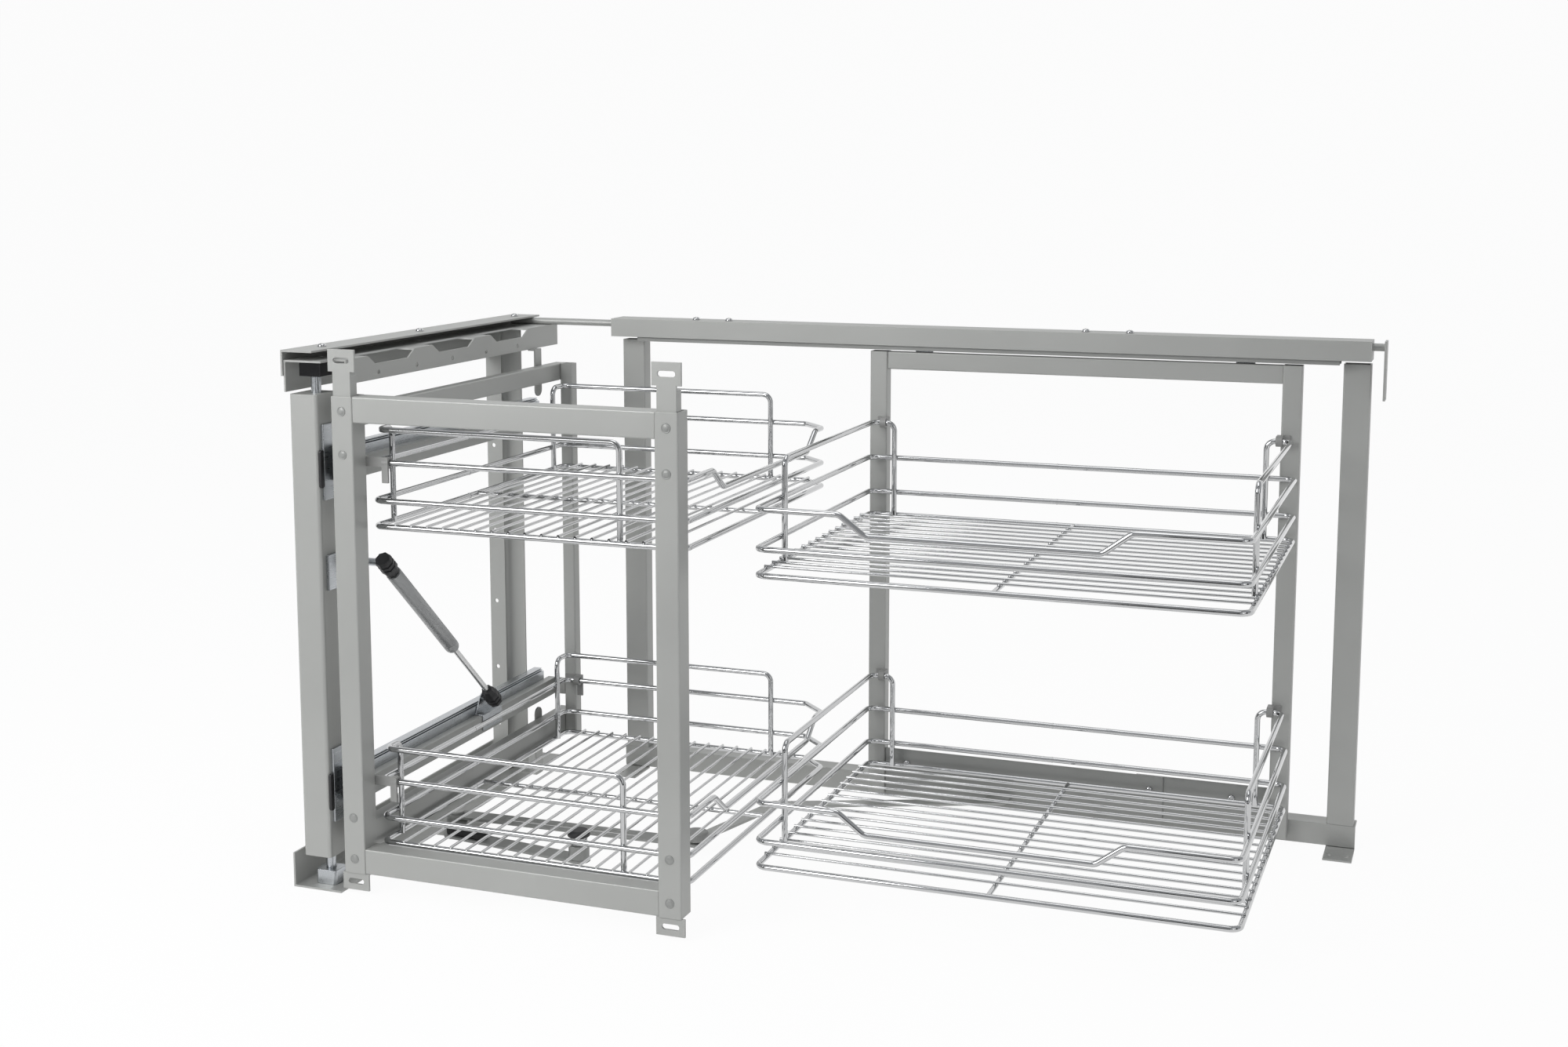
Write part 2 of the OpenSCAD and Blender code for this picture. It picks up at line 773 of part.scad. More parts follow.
module strut_anchor() {
    z = strut_high[2];
    y1 = strut_high[1] + 9;
    color(zinc) {
        block([col_x1, -12, z - 18], [slide_x0, col_d / 2 + 8, z + 18]);
        block([col_x1, 0, z - 9], [slide_x0, y1 - 9, z + 9]);
        translate([col_x1, y1 - 9, z]) rotate([0, 90, 0]) cylinder(d = 18, h = bracket_t);
        translate([col_x1, strut_high[1], z]) rotate([0, 90, 0])
            cylinder(d = stud_d, h = strut_plane - socket_d / 2 - clear - col_x1);
    }
}

// Front unit
front_post_x = [carriage_x0, frame_x1 - post];
module front_post(x) {
    color(paint) translate([x, front_y, frame_z0]) tube(post, post, frame_z1 - frame_z0, tube_t);
}
module front_post_left() { front_post(front_post_x[0]); }
module front_post_right() { front_post(front_post_x[1]); }

module front_beams() {
    x0 = carriage_x0 + post;
    x1 = frame_x1 - post;
    color(paint) for (z = [frame_z0, frame_z1 - beam_h])
        translate([x0, front_y + 1, z + beam_h]) rotate([0, 90, 0])
            tube(beam_h, post - 2, x1 - x0, tube_t);
}

head_w = 30;
head_h = 22;
neck_h = 24;
neck_w = 20;
low_head_h = 18;
plate_t = 2.4;
door_slot_l = 18;
door_slot_d = 5.6;
plug_len = 40;
door_slot_z = [frame_z0 - low_head_h / 2, frame_z1 + neck_h + head_h / 2];
module door_bracket(h, neck, plug) {
    difference() {
        union() {
            block([-head_w / 2, 0, neck], [head_w / 2, plate_t, neck + h]);
            block([-neck_w / 2, 0, -plug], [neck_w / 2, plate_t, neck + 1]);
            block([neck_w / 2 - plate_t, 0, -plug], [neck_w / 2, post / 2, max(neck - 4, -1)]);
        }
        translate([0, -1, neck + h / 2]) rotate([-90, 0, 0])
            linear_extrude(plate_t + 2) slot(door_slot_l, door_slot_d);
    }
}
module door_brackets() {
    y = front_y + tube_t + 0.1;
    color(paint) for (x = front_post_x) {
        translate([x + post / 2, y, frame_z1]) door_bracket(head_h, neck_h, plug_len);
        translate([x + post / 2, y, frame_z0]) mirror([0, 0, 1]) door_bracket(low_head_h, 0, plug_len);
    }
}

rivet_d = 9.5;
rivet_h = 0.7;
rivet_z = [frame_z0 + 15, frame_z0 + 58, frame_z1 - 58, frame_z1 - 15];
module frame_rivets() {
    color(paint_dark) for (x = front_post_x, z = rivet_z)
        translate([x + post / 2, front_y, z]) rotate([90, 0, 0]) cylinder(d = rivet_d, h = rivet_h);
}

beam_y1 = back_post_y0 + back_post;
module side_beam(z0, h) {
    translate([side_beam_x0, beam_y1, z0]) rotate([90, 0, 0])
        tube(side_beam_w, h, beam_y1 - post_back_y, tube_t);
}
module side_beams() {
    color(paint) {
        side_beam(side_high_z0, side_high_h);
        side_beam(side_low_z0, side_low_h);
    }
}

module slide_beams() {
    x1 = carriage_x0 + slide_beam_flange;
    y1 = back_post_y0 + sheet;
    color(paint) for (z = slide_z) {
        top = z + slide_beam_up;
        low = top - slide_beam_h;
        block([carriage_x0, post_back_y, low], [carriage_x0 + slide_beam_t, y1, top]);
        block([carriage_x0, post_back_y, top - slide_beam_t], [x1, y1, top]);
        block([x1 - slide_beam_t, post_back_y, low], [x1, y1, top]);
        block([carriage_x0, back_post_y0, low], [back_post_x0, y1, top]);
    }
}

module back_post() {
    color(paint) translate([back_post_x0, back_post_y0, side_low_z0])
        tube(back_post, back_post, side_high_z0 + side_high_h - side_low_z0, tube_t);
}

strut_lug_t = 1.5;
strut_lug_len = 44;
strut_lug_r = 7;
stud_in = 6;
module strut_bracket() {
    beam_top = slide_low_z + slide_beam_up;
    x1 = carriage_x0 + slide_beam_flange;
    y0 = strut_low[1] - strut_lug_len / 2;
    y1 = y0 + strut_lug_len;
    color(zinc) {
        block([x1, y0, beam_top - slide_beam_h + 3], [x1 + strut_lug_t, y1, beam_top + strut_lug_t]);
        block([carriage_x0, y0, beam_top], [x1 + strut_lug_t, y1, beam_top + strut_lug_t]);
        translate([carriage_x0, 0, 0]) rotate([90, 0, 90]) linear_extrude(slide_beam_t) polygon([
            [y0, beam_top], [y1, beam_top],
            [strut_low[1] + strut_lug_r, strut_low[2] + 6],
            [strut_low[1] - strut_lug_r, strut_low[2] + 6]
        ]);
        bar([carriage_x0, strut_low[1], strut_low[2]],
            [strut_plane + stud_in, strut_low[1], strut_low[2]], stud_d);
    }
}

lug_screw_d = 7;
lug_screw_h = 2;
module bracket_screws() {
    x = carriage_x0 + slide_beam_flange + strut_lug_t;
    z = slide_low_z + slide_beam_up - slide_beam_h / 2 + 1;
    color(chrome) for (s = [-1, 1])
        translate([x, strut_low[1] + s * strut_lug_len * 0.32, z]) rotate([0, 90, 0])
            cylinder(d = lug_screw_d, h = lug_screw_h);
}

// A clip round a basket wire along x, joined to an arm at y from a to b
module hook_ring() {
    rotate([90, 0, 90]) linear_extrude(hook_w) difference() {
        circle(r = ring_r);
        circle(d = wire_d + 2 * clear);
    }
}
module hook_bore(x, y, z) {
    bar([x - hook_w, y, z], [x + 2 * hook_w, y, z], wire_d + 2 * clear);
}
hook_x = basket_x0 + 16;
hook_hang = 20;
hook_lap = 10;
hook_plate = 4;
module front_hooks() {
    front_wire_y = basket_y0 + wire_d / 2;
    back_wire_y = basket_y1 - wire_d / 2;
    color(grey_plastic) for (z = [low_floor_z, front_high_z]) {
        h = z + rail_mid;
        translate([hook_x, front_wire_y, h]) hook_ring();
        difference() {
            union() {
                block([carriage_x0 + post - hook_lap, post_back_y, h - hook_plate],
                      [hook_x + hook_w, post_back_y + hook_t, h + ring_r]);
                block([hook_x, post_back_y, h - hook_hang], [hook_x + hook_w, post_back_y + hook_t, h]);
            }
            hook_bore(hook_x, front_wire_y, h);
        }
        translate([hook_x, back_wire_y, h]) hook_ring();
        block([back_post_x0 + 2, back_post_y0 - hook_t, h - hook_plate],
              [hook_x + hook_w, back_post_y0, h + ring_r]);
        block([hook_x, back_post_y0 - hook_t, h - hook_hang], [hook_x + hook_w, back_post_y0, h]);
        difference() {
            block([hook_x, back_wire_y, h], [hook_x + hook_w, back_post_y0, h + ring_r]);
            hook_bore(hook_x, back_wire_y, h);
        }
    }
}

// Damper strut, drawn along its own axis from the lower pivot
module along_strut() {
    translate(strut_low) rotate([strut_tilt, 0, 0]) children();
}
rod_in = 70;
socket_neck = socket_len - socket_tail;
socket_taper = 8;
module socket() {
    translate([0, 0, -socket_tail]) cylinder(d = socket_d, h = socket_len - socket_taper);
    translate([0, 0, socket_neck - socket_taper])
        cylinder(d1 = socket_d, d2 = socket_d * 0.72, h = socket_taper);
}
module strut_rod() {
    z1 = strut_len - socket_neck - strut_tube_len + rod_in;
    z0 = socket_neck - socket_taper;
    color(zinc) along_strut() translate([0, 0, z0]) cylinder(d = strut_rod_d, h = z1 - z0);
}
module strut_socket_lower() {
    color(black) along_strut() difference() {
        socket();
        translate([-socket_d, 0, 0]) rotate([0, 90, 0])
            cylinder(d = stud_d + 2 * run_fit, h = socket_d + stud_in + 1);
        translate([0, 0, socket_neck - socket_taper]) cylinder(d = strut_rod_d, h = socket_taper + 2);
    }
}
module strut_cylinder() {
    z0 = strut_len - socket_neck - strut_tube_len;
    nose = 6;
    color(grey_plastic) along_strut() difference() {
        union() {
            translate([0, 0, z0 + nose]) cylinder(d = strut_d, h = strut_tube_len - nose);
            translate([0, 0, z0]) cylinder(d1 = strut_d * 0.62, d2 = strut_d, h = nose);
        }
        translate([0, 0, z0 - 1]) cylinder(d = strut_rod_d + 2 * run_fit, h = strut_tube_len - 5);
    }
}
module strut_socket_upper() {
    color(black) along_strut() translate([0, 0, strut_len]) mirror([0, 0, 1]) socket();
}

// Rear carriage
carry_post_x = [carry_x0, carry_x1 - carry_post_w];
module carriage_posts() {
    color(paint) for (x = carry_post_x) translate([x, carry_y0, carry_z0])
        tube(carry_post_w, carry_post_d, carry_z1 - carry_z0, tube_t);
}
module carriage_top_bar() {
    y0 = carry_y0 + 2;
    x0 = carry_x0 + carry_post_w;
    color(paint) translate([x0, y0, carry_z1]) rotate([0, 90, 0])
        tube(carry_bar_h, slot_mid_y - hanger_t / 2 - y0, carry_x1 - carry_post_w - x0, tube_t);
}
plate_z = [12, 64];
lap_in = 310;
lap_x = carry_x0 + lap_in;
lap = 30;
lug_plate_z = strap_z + arm_t + 1;
plate_y = carry_y0 + 3;
lug_w = 26;
lug_t = 2.5;
module carriage_plate_left() {
    color(paint_dark) {
        block([carry_x0 + carry_post_w, plate_y, plate_z[0]],
              [lap_x + lap, plate_y + sheet, plate_z[1]]);
        block([carry_pin[0] - lug_w / 2, carry_pin[1] - link_pin_d, lug_plate_z],
              [carry_pin[0] + lug_w / 2, plate_y + 1, lug_plate_z + lug_t]);
        translate([carry_pin[0], carry_pin[1], strap_z - 2])
            cylinder(d = link_pin_d, h = lug_plate_z - strap_z + 3);
    }
}
module carriage_plate_right() {
    color(paint_dark)
        block([lap_x, plate_y + sheet, plate_z[0]],
              [carry_x1 - carry_post_w, plate_y + 2 * sheet, plate_z[1]]);
}
plate_screw_d = 8;
plate_screw_h = 2.5;
module plate_screws() {
    z = (plate_z[0] + plate_z[1]) / 2 + 10;
    spots = [
        [carry_x0 + carry_post_w + 26, plate_y], [lap_x + lap / 2, plate_y],
        [carry_x1 - carry_post_w - 40, plate_y + sheet]
    ];
    color(chrome) for (q = spots)
        translate([q[0], q[1], z]) rotate([90, 0, 0]) cylinder(d = plate_screw_d, h = plate_screw_h);
}

hanger_t = 4;
hanger_w = 20;
roller_x = [carry_x0 + roller_inset, carry_x1 - roller_inset];
module roller_hangers() {
    color(zinc) for (x = roller_x) difference() {
        block([x - hanger_w / 2, slot_mid_y - hanger_t / 2, carry_z1 - carry_bar_h + 4],
              [x + hanger_w / 2, slot_mid_y + hanger_t / 2, roller_z + roller_d / 2]);
        translate([x, slot_mid_y - hanger_t, roller_z]) rotate([-90, 0, 0])
            cylinder(d = roller_axle_d + 2 * run_fit, h = 2 * hanger_t);
    }
}
module roller(x) {
    half = track_slot / 2;
    color(black) translate([x, slot_mid_y - half - roller_w, roller_z]) rotate([-90, 0, 0]) {
        cylinder(d = roller_d, h = roller_w);
        cylinder(d = roller_axle_d, h = 2 * (half + roller_w));
        translate([0, 0, 2 * half + roller_w]) cylinder(d = roller_d, h = roller_w);
    }
}
module roller_left() { roller(roller_x[0]); }
module roller_right() { roller(roller_x[1]); }

rear_hook_in = wire_d / 2 + hoop_in + hoop_r + 0.4;
module rear_hooks() {
    wire_y = rear_basket_y1 - wire_d / 2 - hoop_in;
    left_x = rear_basket_x0 + rear_hook_in;
    right_x = rear_basket_x0 + rear_basket_w - rear_hook_in - hook_w;
    color(grey_plastic) for (z = [low_floor_z, rear_high_z], x = [left_x, right_x]) {
        h = z + rail_top;
        translate([x, wire_y, h]) hook_ring();
        difference() {
            block([x, wire_y, h], [x + hook_w, carry_y0, h + ring_r]);
            hook_bore(x, wire_y, h);
        }
        half = carry_post_w / 2;
        seat = x == left_x ? [carry_x0 + half, x + hook_w] : [x, carry_x1 - half];
        block([seat[0], carry_y0 - hook_t, h - hook_plate], [seat[1], carry_y0, h + ring_r]);
    }
}

// Floor linkage
crank_slot_l = 160;
crank_slot_w = 8;
crank_slot_x = 140;
link_top = 40;
module pin_hole(at, d) {
    translate([at[0], at[1], 0]) cylinder(d = d, h = link_top);
}
module crank_arm() {
    v = elbow_pin - crank_pin;
    color(paint_dark) difference() {
        union() {
            translate([0, 0, crank_z]) linear_extrude(arm_t) flat_arm([crank_pin, elbow_pin], arm_w);
            translate([elbow_pin[0], elbow_pin[1], crank_z])
                cylinder(d = link_pin_d, h = strap_z - crank_z + arm_t + 4);
        }
        pin_hole(crank_pin, link_pin_d + 2 * run_fit);
        translate([crank_pin[0], crank_pin[1], crank_z - 1]) rotate(atan2(v[1], v[0]))
            translate([crank_slot_x, 0, 0])
                linear_extrude(arm_t + 2) slot(crank_slot_l, crank_slot_w);
    }
}
module catch_arm() {
    color(paint_dark) difference() {
        union() {
            translate([0, 0, catch_z]) linear_extrude(arm_t)
                flat_arm([crank_pin, catch_heel, catch_pin], arm_w);
            translate([crank_pin[0], crank_pin[1], catch_z])
                cylinder(d = arm_w - 4, h = crank_z - catch_z);
            translate([catch_pin[0], catch_pin[1], catch_z])
                cylinder(d = arm_w - 2, h = bush_top - catch_z);
        }
        pin_hole(crank_pin, link_pin_d + 2 * run_fit);
        pin_hole(catch_pin, link_pin_d + 2 * run_fit);
    }
}
rubber_len = 34;
rubber_h = 8;
module catch_rubber() {
    v = unit(catch_pin - catch_heel);
    color(black) translate([0, 0, catch_z + arm_t]) linear_extrude(rubber_h)
        flat_arm([catch_heel, catch_heel + rubber_len * v], arm_w - 6);
}

// The catch spring: one unbroken tube along a helix
spring_rings = 8;
spring_sides = 6;
spring_z0 = bush_top + clear + spring_wire / 2;
spring_rise = cap_z - bush_top - 2 * clear - spring_wire;
spring_r = (spring_d - spring_wire) / 2;
spring_steps = spring_turns * spring_rings;
function spring_mid(i) = [
    catch_pin[0] + spring_r * cos(360 * i / spring_rings),
    catch_pin[1] + spring_r * sin(360 * i / spring_rings),
    spring_z0 + spring_rise * i / spring_steps
];
function spring_point(i, j) =
    let(a = 360 * i / spring_rings, b = 360 * j / spring_sides, r = spring_r + spring_wire / 2 * cos(b))
    [catch_pin[0] + r * cos(a), catch_pin[1] + r * sin(a),
     spring_mid(i)[2] + spring_wire / 2 * sin(b)];
spring_gap = min([for (i = [0 : spring_steps - spring_rings])
    norm(spring_mid(i + spring_rings) - spring_mid(i))]) - spring_wire;
module catch_spring() {
    n = spring_sides;
    points = [for (i = [0 : spring_steps], j = [0 : n - 1]) spring_point(i, j)];
    skin = [for (i = [0 : spring_steps - 1], j = [0 : n - 1])
        let(a = i * n + j, b = i * n + (j + 1) % n)
        each [[a, a + n, b], [b, a + n, b + n]]];
    first = [for (j = [1 : n - 2]) [0, j, j + 1]];
    e = spring_steps * n;
    last = [for (j = [1 : n - 2]) [e, e + j + 1, e + j]];
    echo(spring_least_gap = spring_gap);
    color(chrome) polyhedron(points, concat(skin, first, last));
}
knob_d = 24;
knob_h = 7;
knob_bevel = 2.5;
module catch_knob() {
    color(black) translate([catch_pin[0], catch_pin[1], 0]) {
        translate([0, 0, catch_z + 1]) cylinder(d = link_pin_d, h = cap_z - catch_z);
        translate([0, 0, cap_z]) cylinder(d = knob_d, h = knob_h - knob_bevel);
        translate([0, 0, cap_z + knob_h - knob_bevel])
            cylinder(d1 = knob_d, d2 = knob_d - 6, h = knob_bevel);
    }
}
elbow_cap_d = 26;
elbow_cap_h = 6;
module elbow_cap() {
    z0 = strap_z + arm_t + 0.5;
    color(grey_plastic) translate([elbow_pin[0], elbow_pin[1], z0]) difference() {
        union() {
            cylinder(d = elbow_cap_d, h = elbow_cap_h);
            translate([0, 0, elbow_cap_h]) cylinder(d1 = elbow_cap_d, d2 = elbow_cap_d - 4, h = 1.5);
        }
        translate([0, 0, -1]) cylinder(d = link_pin_d, h = 4.5);
    }
}
module link_strap() {
    color(paint) difference() {
        translate([0, 0, strap_z]) linear_extrude(arm_t)
            flat_arm([elbow_pin, strap_bend, carry_pin], strap_w);
        pin_hole(elbow_pin, link_pin_d + 2 * open_pivot);
        pin_hole(carry_pin, link_pin_d + 2 * run_fit);
    }
}

base_channel();
rear_upright();
top_channel();
top_angle();
frame_screws();
lower_bearing();
upper_bearing();
upper_stop();
lower_stop();
tie_rod();
rail_cover();
rail_track();
rear_posts();
bottom_rail();
rail_feet();
wall_bracket();
pivot_plate();
column();
column_pins();
slide_brackets();
slide_bumpers();
slide_outers();
strut_anchor();
slide_middles();
front_post_left();
front_post_right();
front_beams();
door_brackets();
frame_rivets();
side_beams();
slide_beams();
slide_inners();
back_post();
strut_bracket();
bracket_screws();
front_hooks();
front_upper_basket();
front_lower_basket();
strut_rod();
strut_socket_lower();
strut_cylinder();
strut_socket_upper();
carriage_posts();
carriage_top_bar();
carriage_plate_left();
carriage_plate_right();
plate_screws();
roller_hangers();
rear_hooks();
rear_upper_basket();
rear_lower_basket();
roller_left();
roller_right();
crank_arm();
catch_arm();
catch_rubber();
catch_spring();
catch_knob();
elbow_cap();
link_strap();
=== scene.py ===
# %% [markdown]
# # A corner cabinet pull out
#
# The fitting is mostly square tube and folded sheet in silver-grey powder coat, with chrome wire
# baskets, zinc runners and a few black plastic pieces. The measured model gives every place and
# size. This lesson gives each piece its edges, its wire and its finish, then lights it.

# %% Load the measured model
import json
import math

import bmesh
import bpy
from mathutils import Euler, Matrix, Vector


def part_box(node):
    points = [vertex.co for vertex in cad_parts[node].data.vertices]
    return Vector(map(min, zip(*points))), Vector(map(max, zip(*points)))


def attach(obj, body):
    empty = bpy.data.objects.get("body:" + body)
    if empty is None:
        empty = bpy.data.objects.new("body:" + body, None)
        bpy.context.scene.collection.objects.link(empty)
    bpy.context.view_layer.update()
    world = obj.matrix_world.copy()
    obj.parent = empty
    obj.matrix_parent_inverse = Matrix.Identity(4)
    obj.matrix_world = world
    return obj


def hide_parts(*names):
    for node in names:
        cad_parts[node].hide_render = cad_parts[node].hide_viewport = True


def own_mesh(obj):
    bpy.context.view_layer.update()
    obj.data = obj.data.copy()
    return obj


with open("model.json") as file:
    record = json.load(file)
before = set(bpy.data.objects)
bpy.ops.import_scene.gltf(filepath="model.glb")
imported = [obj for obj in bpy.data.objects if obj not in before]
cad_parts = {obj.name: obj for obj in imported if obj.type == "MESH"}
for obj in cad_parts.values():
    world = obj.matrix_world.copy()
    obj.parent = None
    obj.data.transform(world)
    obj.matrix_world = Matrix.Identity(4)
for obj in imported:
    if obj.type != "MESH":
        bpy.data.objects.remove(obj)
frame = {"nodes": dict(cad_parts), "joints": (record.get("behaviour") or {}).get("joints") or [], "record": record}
nodes = frame["nodes"]
body_of_node = {n: b for b, group in frame["record"]["behaviour"]["bodies"].items() for n in group}
slot_of_node = {p["node"]: p["material_slot"] for p in frame["record"]["subparts"]}
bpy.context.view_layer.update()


def mm(*values):
    """Millimetres to a vector in metres."""
    return Vector(values) / 1000


def link(name, data):
    """A new object at the origin, in the scene."""
    made = bpy.data.objects.new(name, data)
    bpy.context.scene.collection.objects.link(made)
    return made


# %% [markdown]
# ## Writing shader maths as Python
#
# A finish is easier to read as an expression than as a list of node links. The class below wraps
# one output socket. Adding, taking away or multiplying two of them puts a Math node in the tree,
# and a plain number works on either side, so `1 - mask` reads as it should.


# %% A socket that can be used in sums
class Value:
    def __init__(self, socket):
        self.socket = socket

    def math(self, operation, first, second):
        made = Finish.wrap(self.socket.id_data)
        return made.node("ShaderNodeMath", {"operation": operation}, {0: first, 1: second})

    def __add__(self, other):
        return self.math("ADD", self, other)

    def __radd__(self, other):
        return self.math("ADD", other, self)

    def __sub__(self, other):
        return self.math("SUBTRACT", self, other)

    def __rsub__(self, other):
        return self.math("SUBTRACT", other, self)

    def __mul__(self, other):
        return self.math("MULTIPLY", self, other)

    def __rmul__(self, other):
        return self.math("MULTIPLY", other, self)


class Finish:
    """One material's tree, with one way to add any node to it."""

    @classmethod
    def wrap(cls, tree):
        made = cls.__new__(cls)
        made.tree = tree
        return made

    def __init__(self, name):
        self.material = bpy.data.materials.new(name)
        self.material.use_nodes = True
        self.tree = self.material.node_tree
        self.shader = self.tree.nodes["Principled BSDF"]

    def node(self, kind, settings=None, sockets=None, output=0):
        made = self.tree.nodes.new(kind)
        for key, value in (settings or {}).items():
            setattr(made, key, value)
        for key, value in (sockets or {}).items():
            self.feed(made.inputs[key], value)
        return Value(made.outputs[output])

    def feed(self, socket, value):
        if isinstance(value, Value):
            self.tree.links.new(value.socket, socket)
        else:
            socket.default_value = value

    def surface(self, **sockets):
        for key, value in sockets.items():
            self.feed(self.shader.inputs[key.replace("_", " ")], value)

    def place(self, stretch=(1, 1, 1)):
        spot = self.node("ShaderNodeTexCoord", output="Object")
        return self.node("ShaderNodeMapping", None, {"Vector": spot, "Scale": stretch})

    def noise(self, scale, detail=2.0, stretch=(1, 1, 1)):
        sockets = {"Vector": self.place(stretch), "Scale": scale, "Detail": detail}
        return self.node("ShaderNodeTexNoise", None, sockets)

    def tones(self, factor, dark, light):
        """A colour between two: a Mix node's sockets 0, 6 and 7 are its share and two colours."""
        sockets = {0: factor, 6: (*dark, 1), 7: (*light, 1)}
        return self.node("ShaderNodeMix", {"data_type": "RGBA"}, sockets, 2)

    def bump(self, height, strength, distance):
        sockets = {"Height": height, "Strength": strength, "Distance": distance}
        return self.node("ShaderNodeBump", None, sockets)


print("shader helpers ready")

# %% [markdown]
# ## Silver-grey powder coat
#
# Powder coat melts into a skin that is smooth to the hand but dimples under a lamp, the orange
# peel of a baked coat, and this one holds a little aluminium flake. A photograph of it would not
# follow the bends, so noise makes it: a fine one for the dimples, a finer one for the flake and a
# broad one for the slow change in tone along a tube.


# %% Powder coat
def powder_coat(name, dark, light, rough):
    coat = Finish(name)
    broad = coat.noise(7.0)
    flake = coat.noise(5200.0, 0.0)
    dimples = coat.noise(950.0, 1.0)
    coat.surface(
        Base_Color=coat.tones(0.7 * broad + 0.3 * flake, dark, light),
        Roughness=rough + 0.10 * (broad - 0.5) + 0.06 * (flake - 0.5),
        Metallic=0.3,
        Normal=coat.bump(dimples, 0.12, 0.0002),
    )
    return coat.material


silver = powder_coat("silver_powder_coat", (0.37, 0.375, 0.36), (0.45, 0.455, 0.44), 0.42)
shade = powder_coat("grey_powder_coat", (0.27, 0.275, 0.265), (0.34, 0.345, 0.335), 0.45)
lacquer = powder_coat("strut_lacquer", (0.33, 0.335, 0.335), (0.40, 0.405, 0.405), 0.36)
print("powder coats", silver.name, shade.name, lacquer.name)

# %% [markdown]
# ## Chrome and zinc
#
# The basket wire is polished and then chromed, so it is nearly a mirror with a faint drawn grain.
# The runners and pins are only zinc plated: bluish, softer, and streaked along the way that the
# strip was rolled. The block that holds the column's upper pin looks nearly black, as zinc does after
# a black passivating bath. All are fully metal, so their tone is in the base colour and their
# character in the roughness.


# %% Plated metals
def plated(name, dark, light, rough, spread, grain, stretch):
    metal = Finish(name)
    cloud = metal.noise(40.0, 3.0)
    streak = metal.noise(grain, 2.0, stretch)
    metal.surface(
        Base_Color=metal.tones(0.5 * cloud + 0.5 * streak, dark, light),
        Roughness=rough + spread * (streak - 0.5) + 0.5 * spread * (cloud - 0.5),
        Metallic=1.0,
        Normal=metal.bump(streak, 0.03, 0.0001),
    )
    return metal.material


even, along_y = (1, 1, 1), (1, 0.04, 1)
chrome = plated("chrome_plate", (0.50, 0.505, 0.51), (0.58, 0.585, 0.59), 0.07, 0.06, 600.0, even)
zinc = plated("zinc_plate", (0.40, 0.42, 0.44), (0.58, 0.60, 0.62), 0.30, 0.22, 900.0, along_y)
satin = plated("satin_rod", (0.60, 0.60, 0.60), (0.72, 0.72, 0.72), 0.26, 0.12, 1500.0, even)
dark_zinc = plated("black_zinc", (0.04, 0.04, 0.042), (0.07, 0.07, 0.073), 0.24, 0.10, 900.0, even)
print("plated metals", chrome.name, zinc.name, satin.name, dark_zinc.name)

# %% [markdown]
# ## Moulded plastic and rubber
#
# The sockets, bumpers and knob are moulded in a spark-eroded tool, which leaves a fine even grain.
# Voronoi cells give that grain a crisper look than noise does. The rubber is the same idea with a
# coarser cell and hardly any shine.


# %% Moulded finishes
def moulded(name, dark, light, rough, cell, depth):
    mould = Finish(name)
    cells = mould.node("ShaderNodeTexVoronoi", None, {"Vector": mould.place(), "Scale": cell})
    broad = mould.noise(30.0)
    mould.surface(
        Base_Color=mould.tones(broad, dark, light),
        Roughness=rough + 0.12 * (broad - 0.5),
        Normal=mould.bump(cells, depth, 0.0002),
    )
    return mould.material


black = moulded("black_moulding", (0.012, 0.012, 0.013), (0.022, 0.022, 0.024), 0.46, 1800.0, 0.10)
grey = moulded("grey_moulding", (0.24, 0.24, 0.235), (0.31, 0.31, 0.30), 0.44, 1800.0, 0.10)
rubber = moulded("black_rubber", (0.014, 0.014, 0.014), (0.026, 0.026, 0.026), 0.72, 900.0, 0.18)
finish_of_slot = {
    "silver_paint": silver, "dark_paint": shade, "zinc": zinc, "chrome": chrome,
    "black_plastic": black, "grey_plastic": grey, "strut_paint": lacquer, "rubber": rubber,
}
print("moulded finishes", black.name, grey.name, rubber.name)

# %% [markdown]
# ## Edges that catch the light
#
# A sawn tube or a folded sheet never ends in a perfect corner, and the thin bright line along an
# edge is most of what makes metal look real. The measured solids have sharp corners, so each one is
# copied, its loose triangles are merged back into flats, and its outward edges are bevelled: the
# long ones by the tube's own radius, the short ones by a touch. A bevel weight on every edge lets
# one modifier do both.


# %% Bevel a copy of a measured piece
merge_gap, long_edge = 2e-6, 0.03
flat_angle, edge_angle = math.radians(0.6), math.radians(35)


def soften(node, long_radius, short_radius, material=None, slim=0.0):
    """A finished copy of a node: radii in millimetres, slim takes that much off all round."""
    mesh = nodes[node].data.copy()
    work = bmesh.new()
    work.from_mesh(mesh)
    bmesh.ops.remove_doubles(work, verts=work.verts, dist=merge_gap)
    bmesh.ops.dissolve_limit(work, angle_limit=flat_angle, verts=work.verts, edges=work.edges)
    work.normal_update()
    for vert in work.verts:
        vert.co -= vert.normal * slim / 1000
    widest = max(long_radius, short_radius)
    weight = work.edges.layers.float.new("bevel_weight_edge")
    for edge in work.edges:
        edge.smooth = True
        if len(edge.link_faces) != 2 or edge.calc_face_angle(0.0) < edge_angle:
            continue
        if edge.is_convex:
            reach = long_radius if edge.calc_length() > long_edge else short_radius
            edge[weight] = reach / widest
        else:
            edge.smooth = False
    for face in work.faces:
        face.smooth = True
    work.to_mesh(mesh)
    work.free()
    piece = link(node + "_finished", mesh)
    bevel = piece.modifiers.new("edges", "BEVEL")
    bevel.limit_method = "WEIGHT"
    bevel.width = widest / 1000
    bevel.segments = 3
    bevel.use_clamp_overlap = True
    flats = piece.modifiers.new("flats", "WEIGHTED_NORMAL")
    flats.keep_sharp = True
    settle(piece)
    wear(piece, node, material)
    return piece


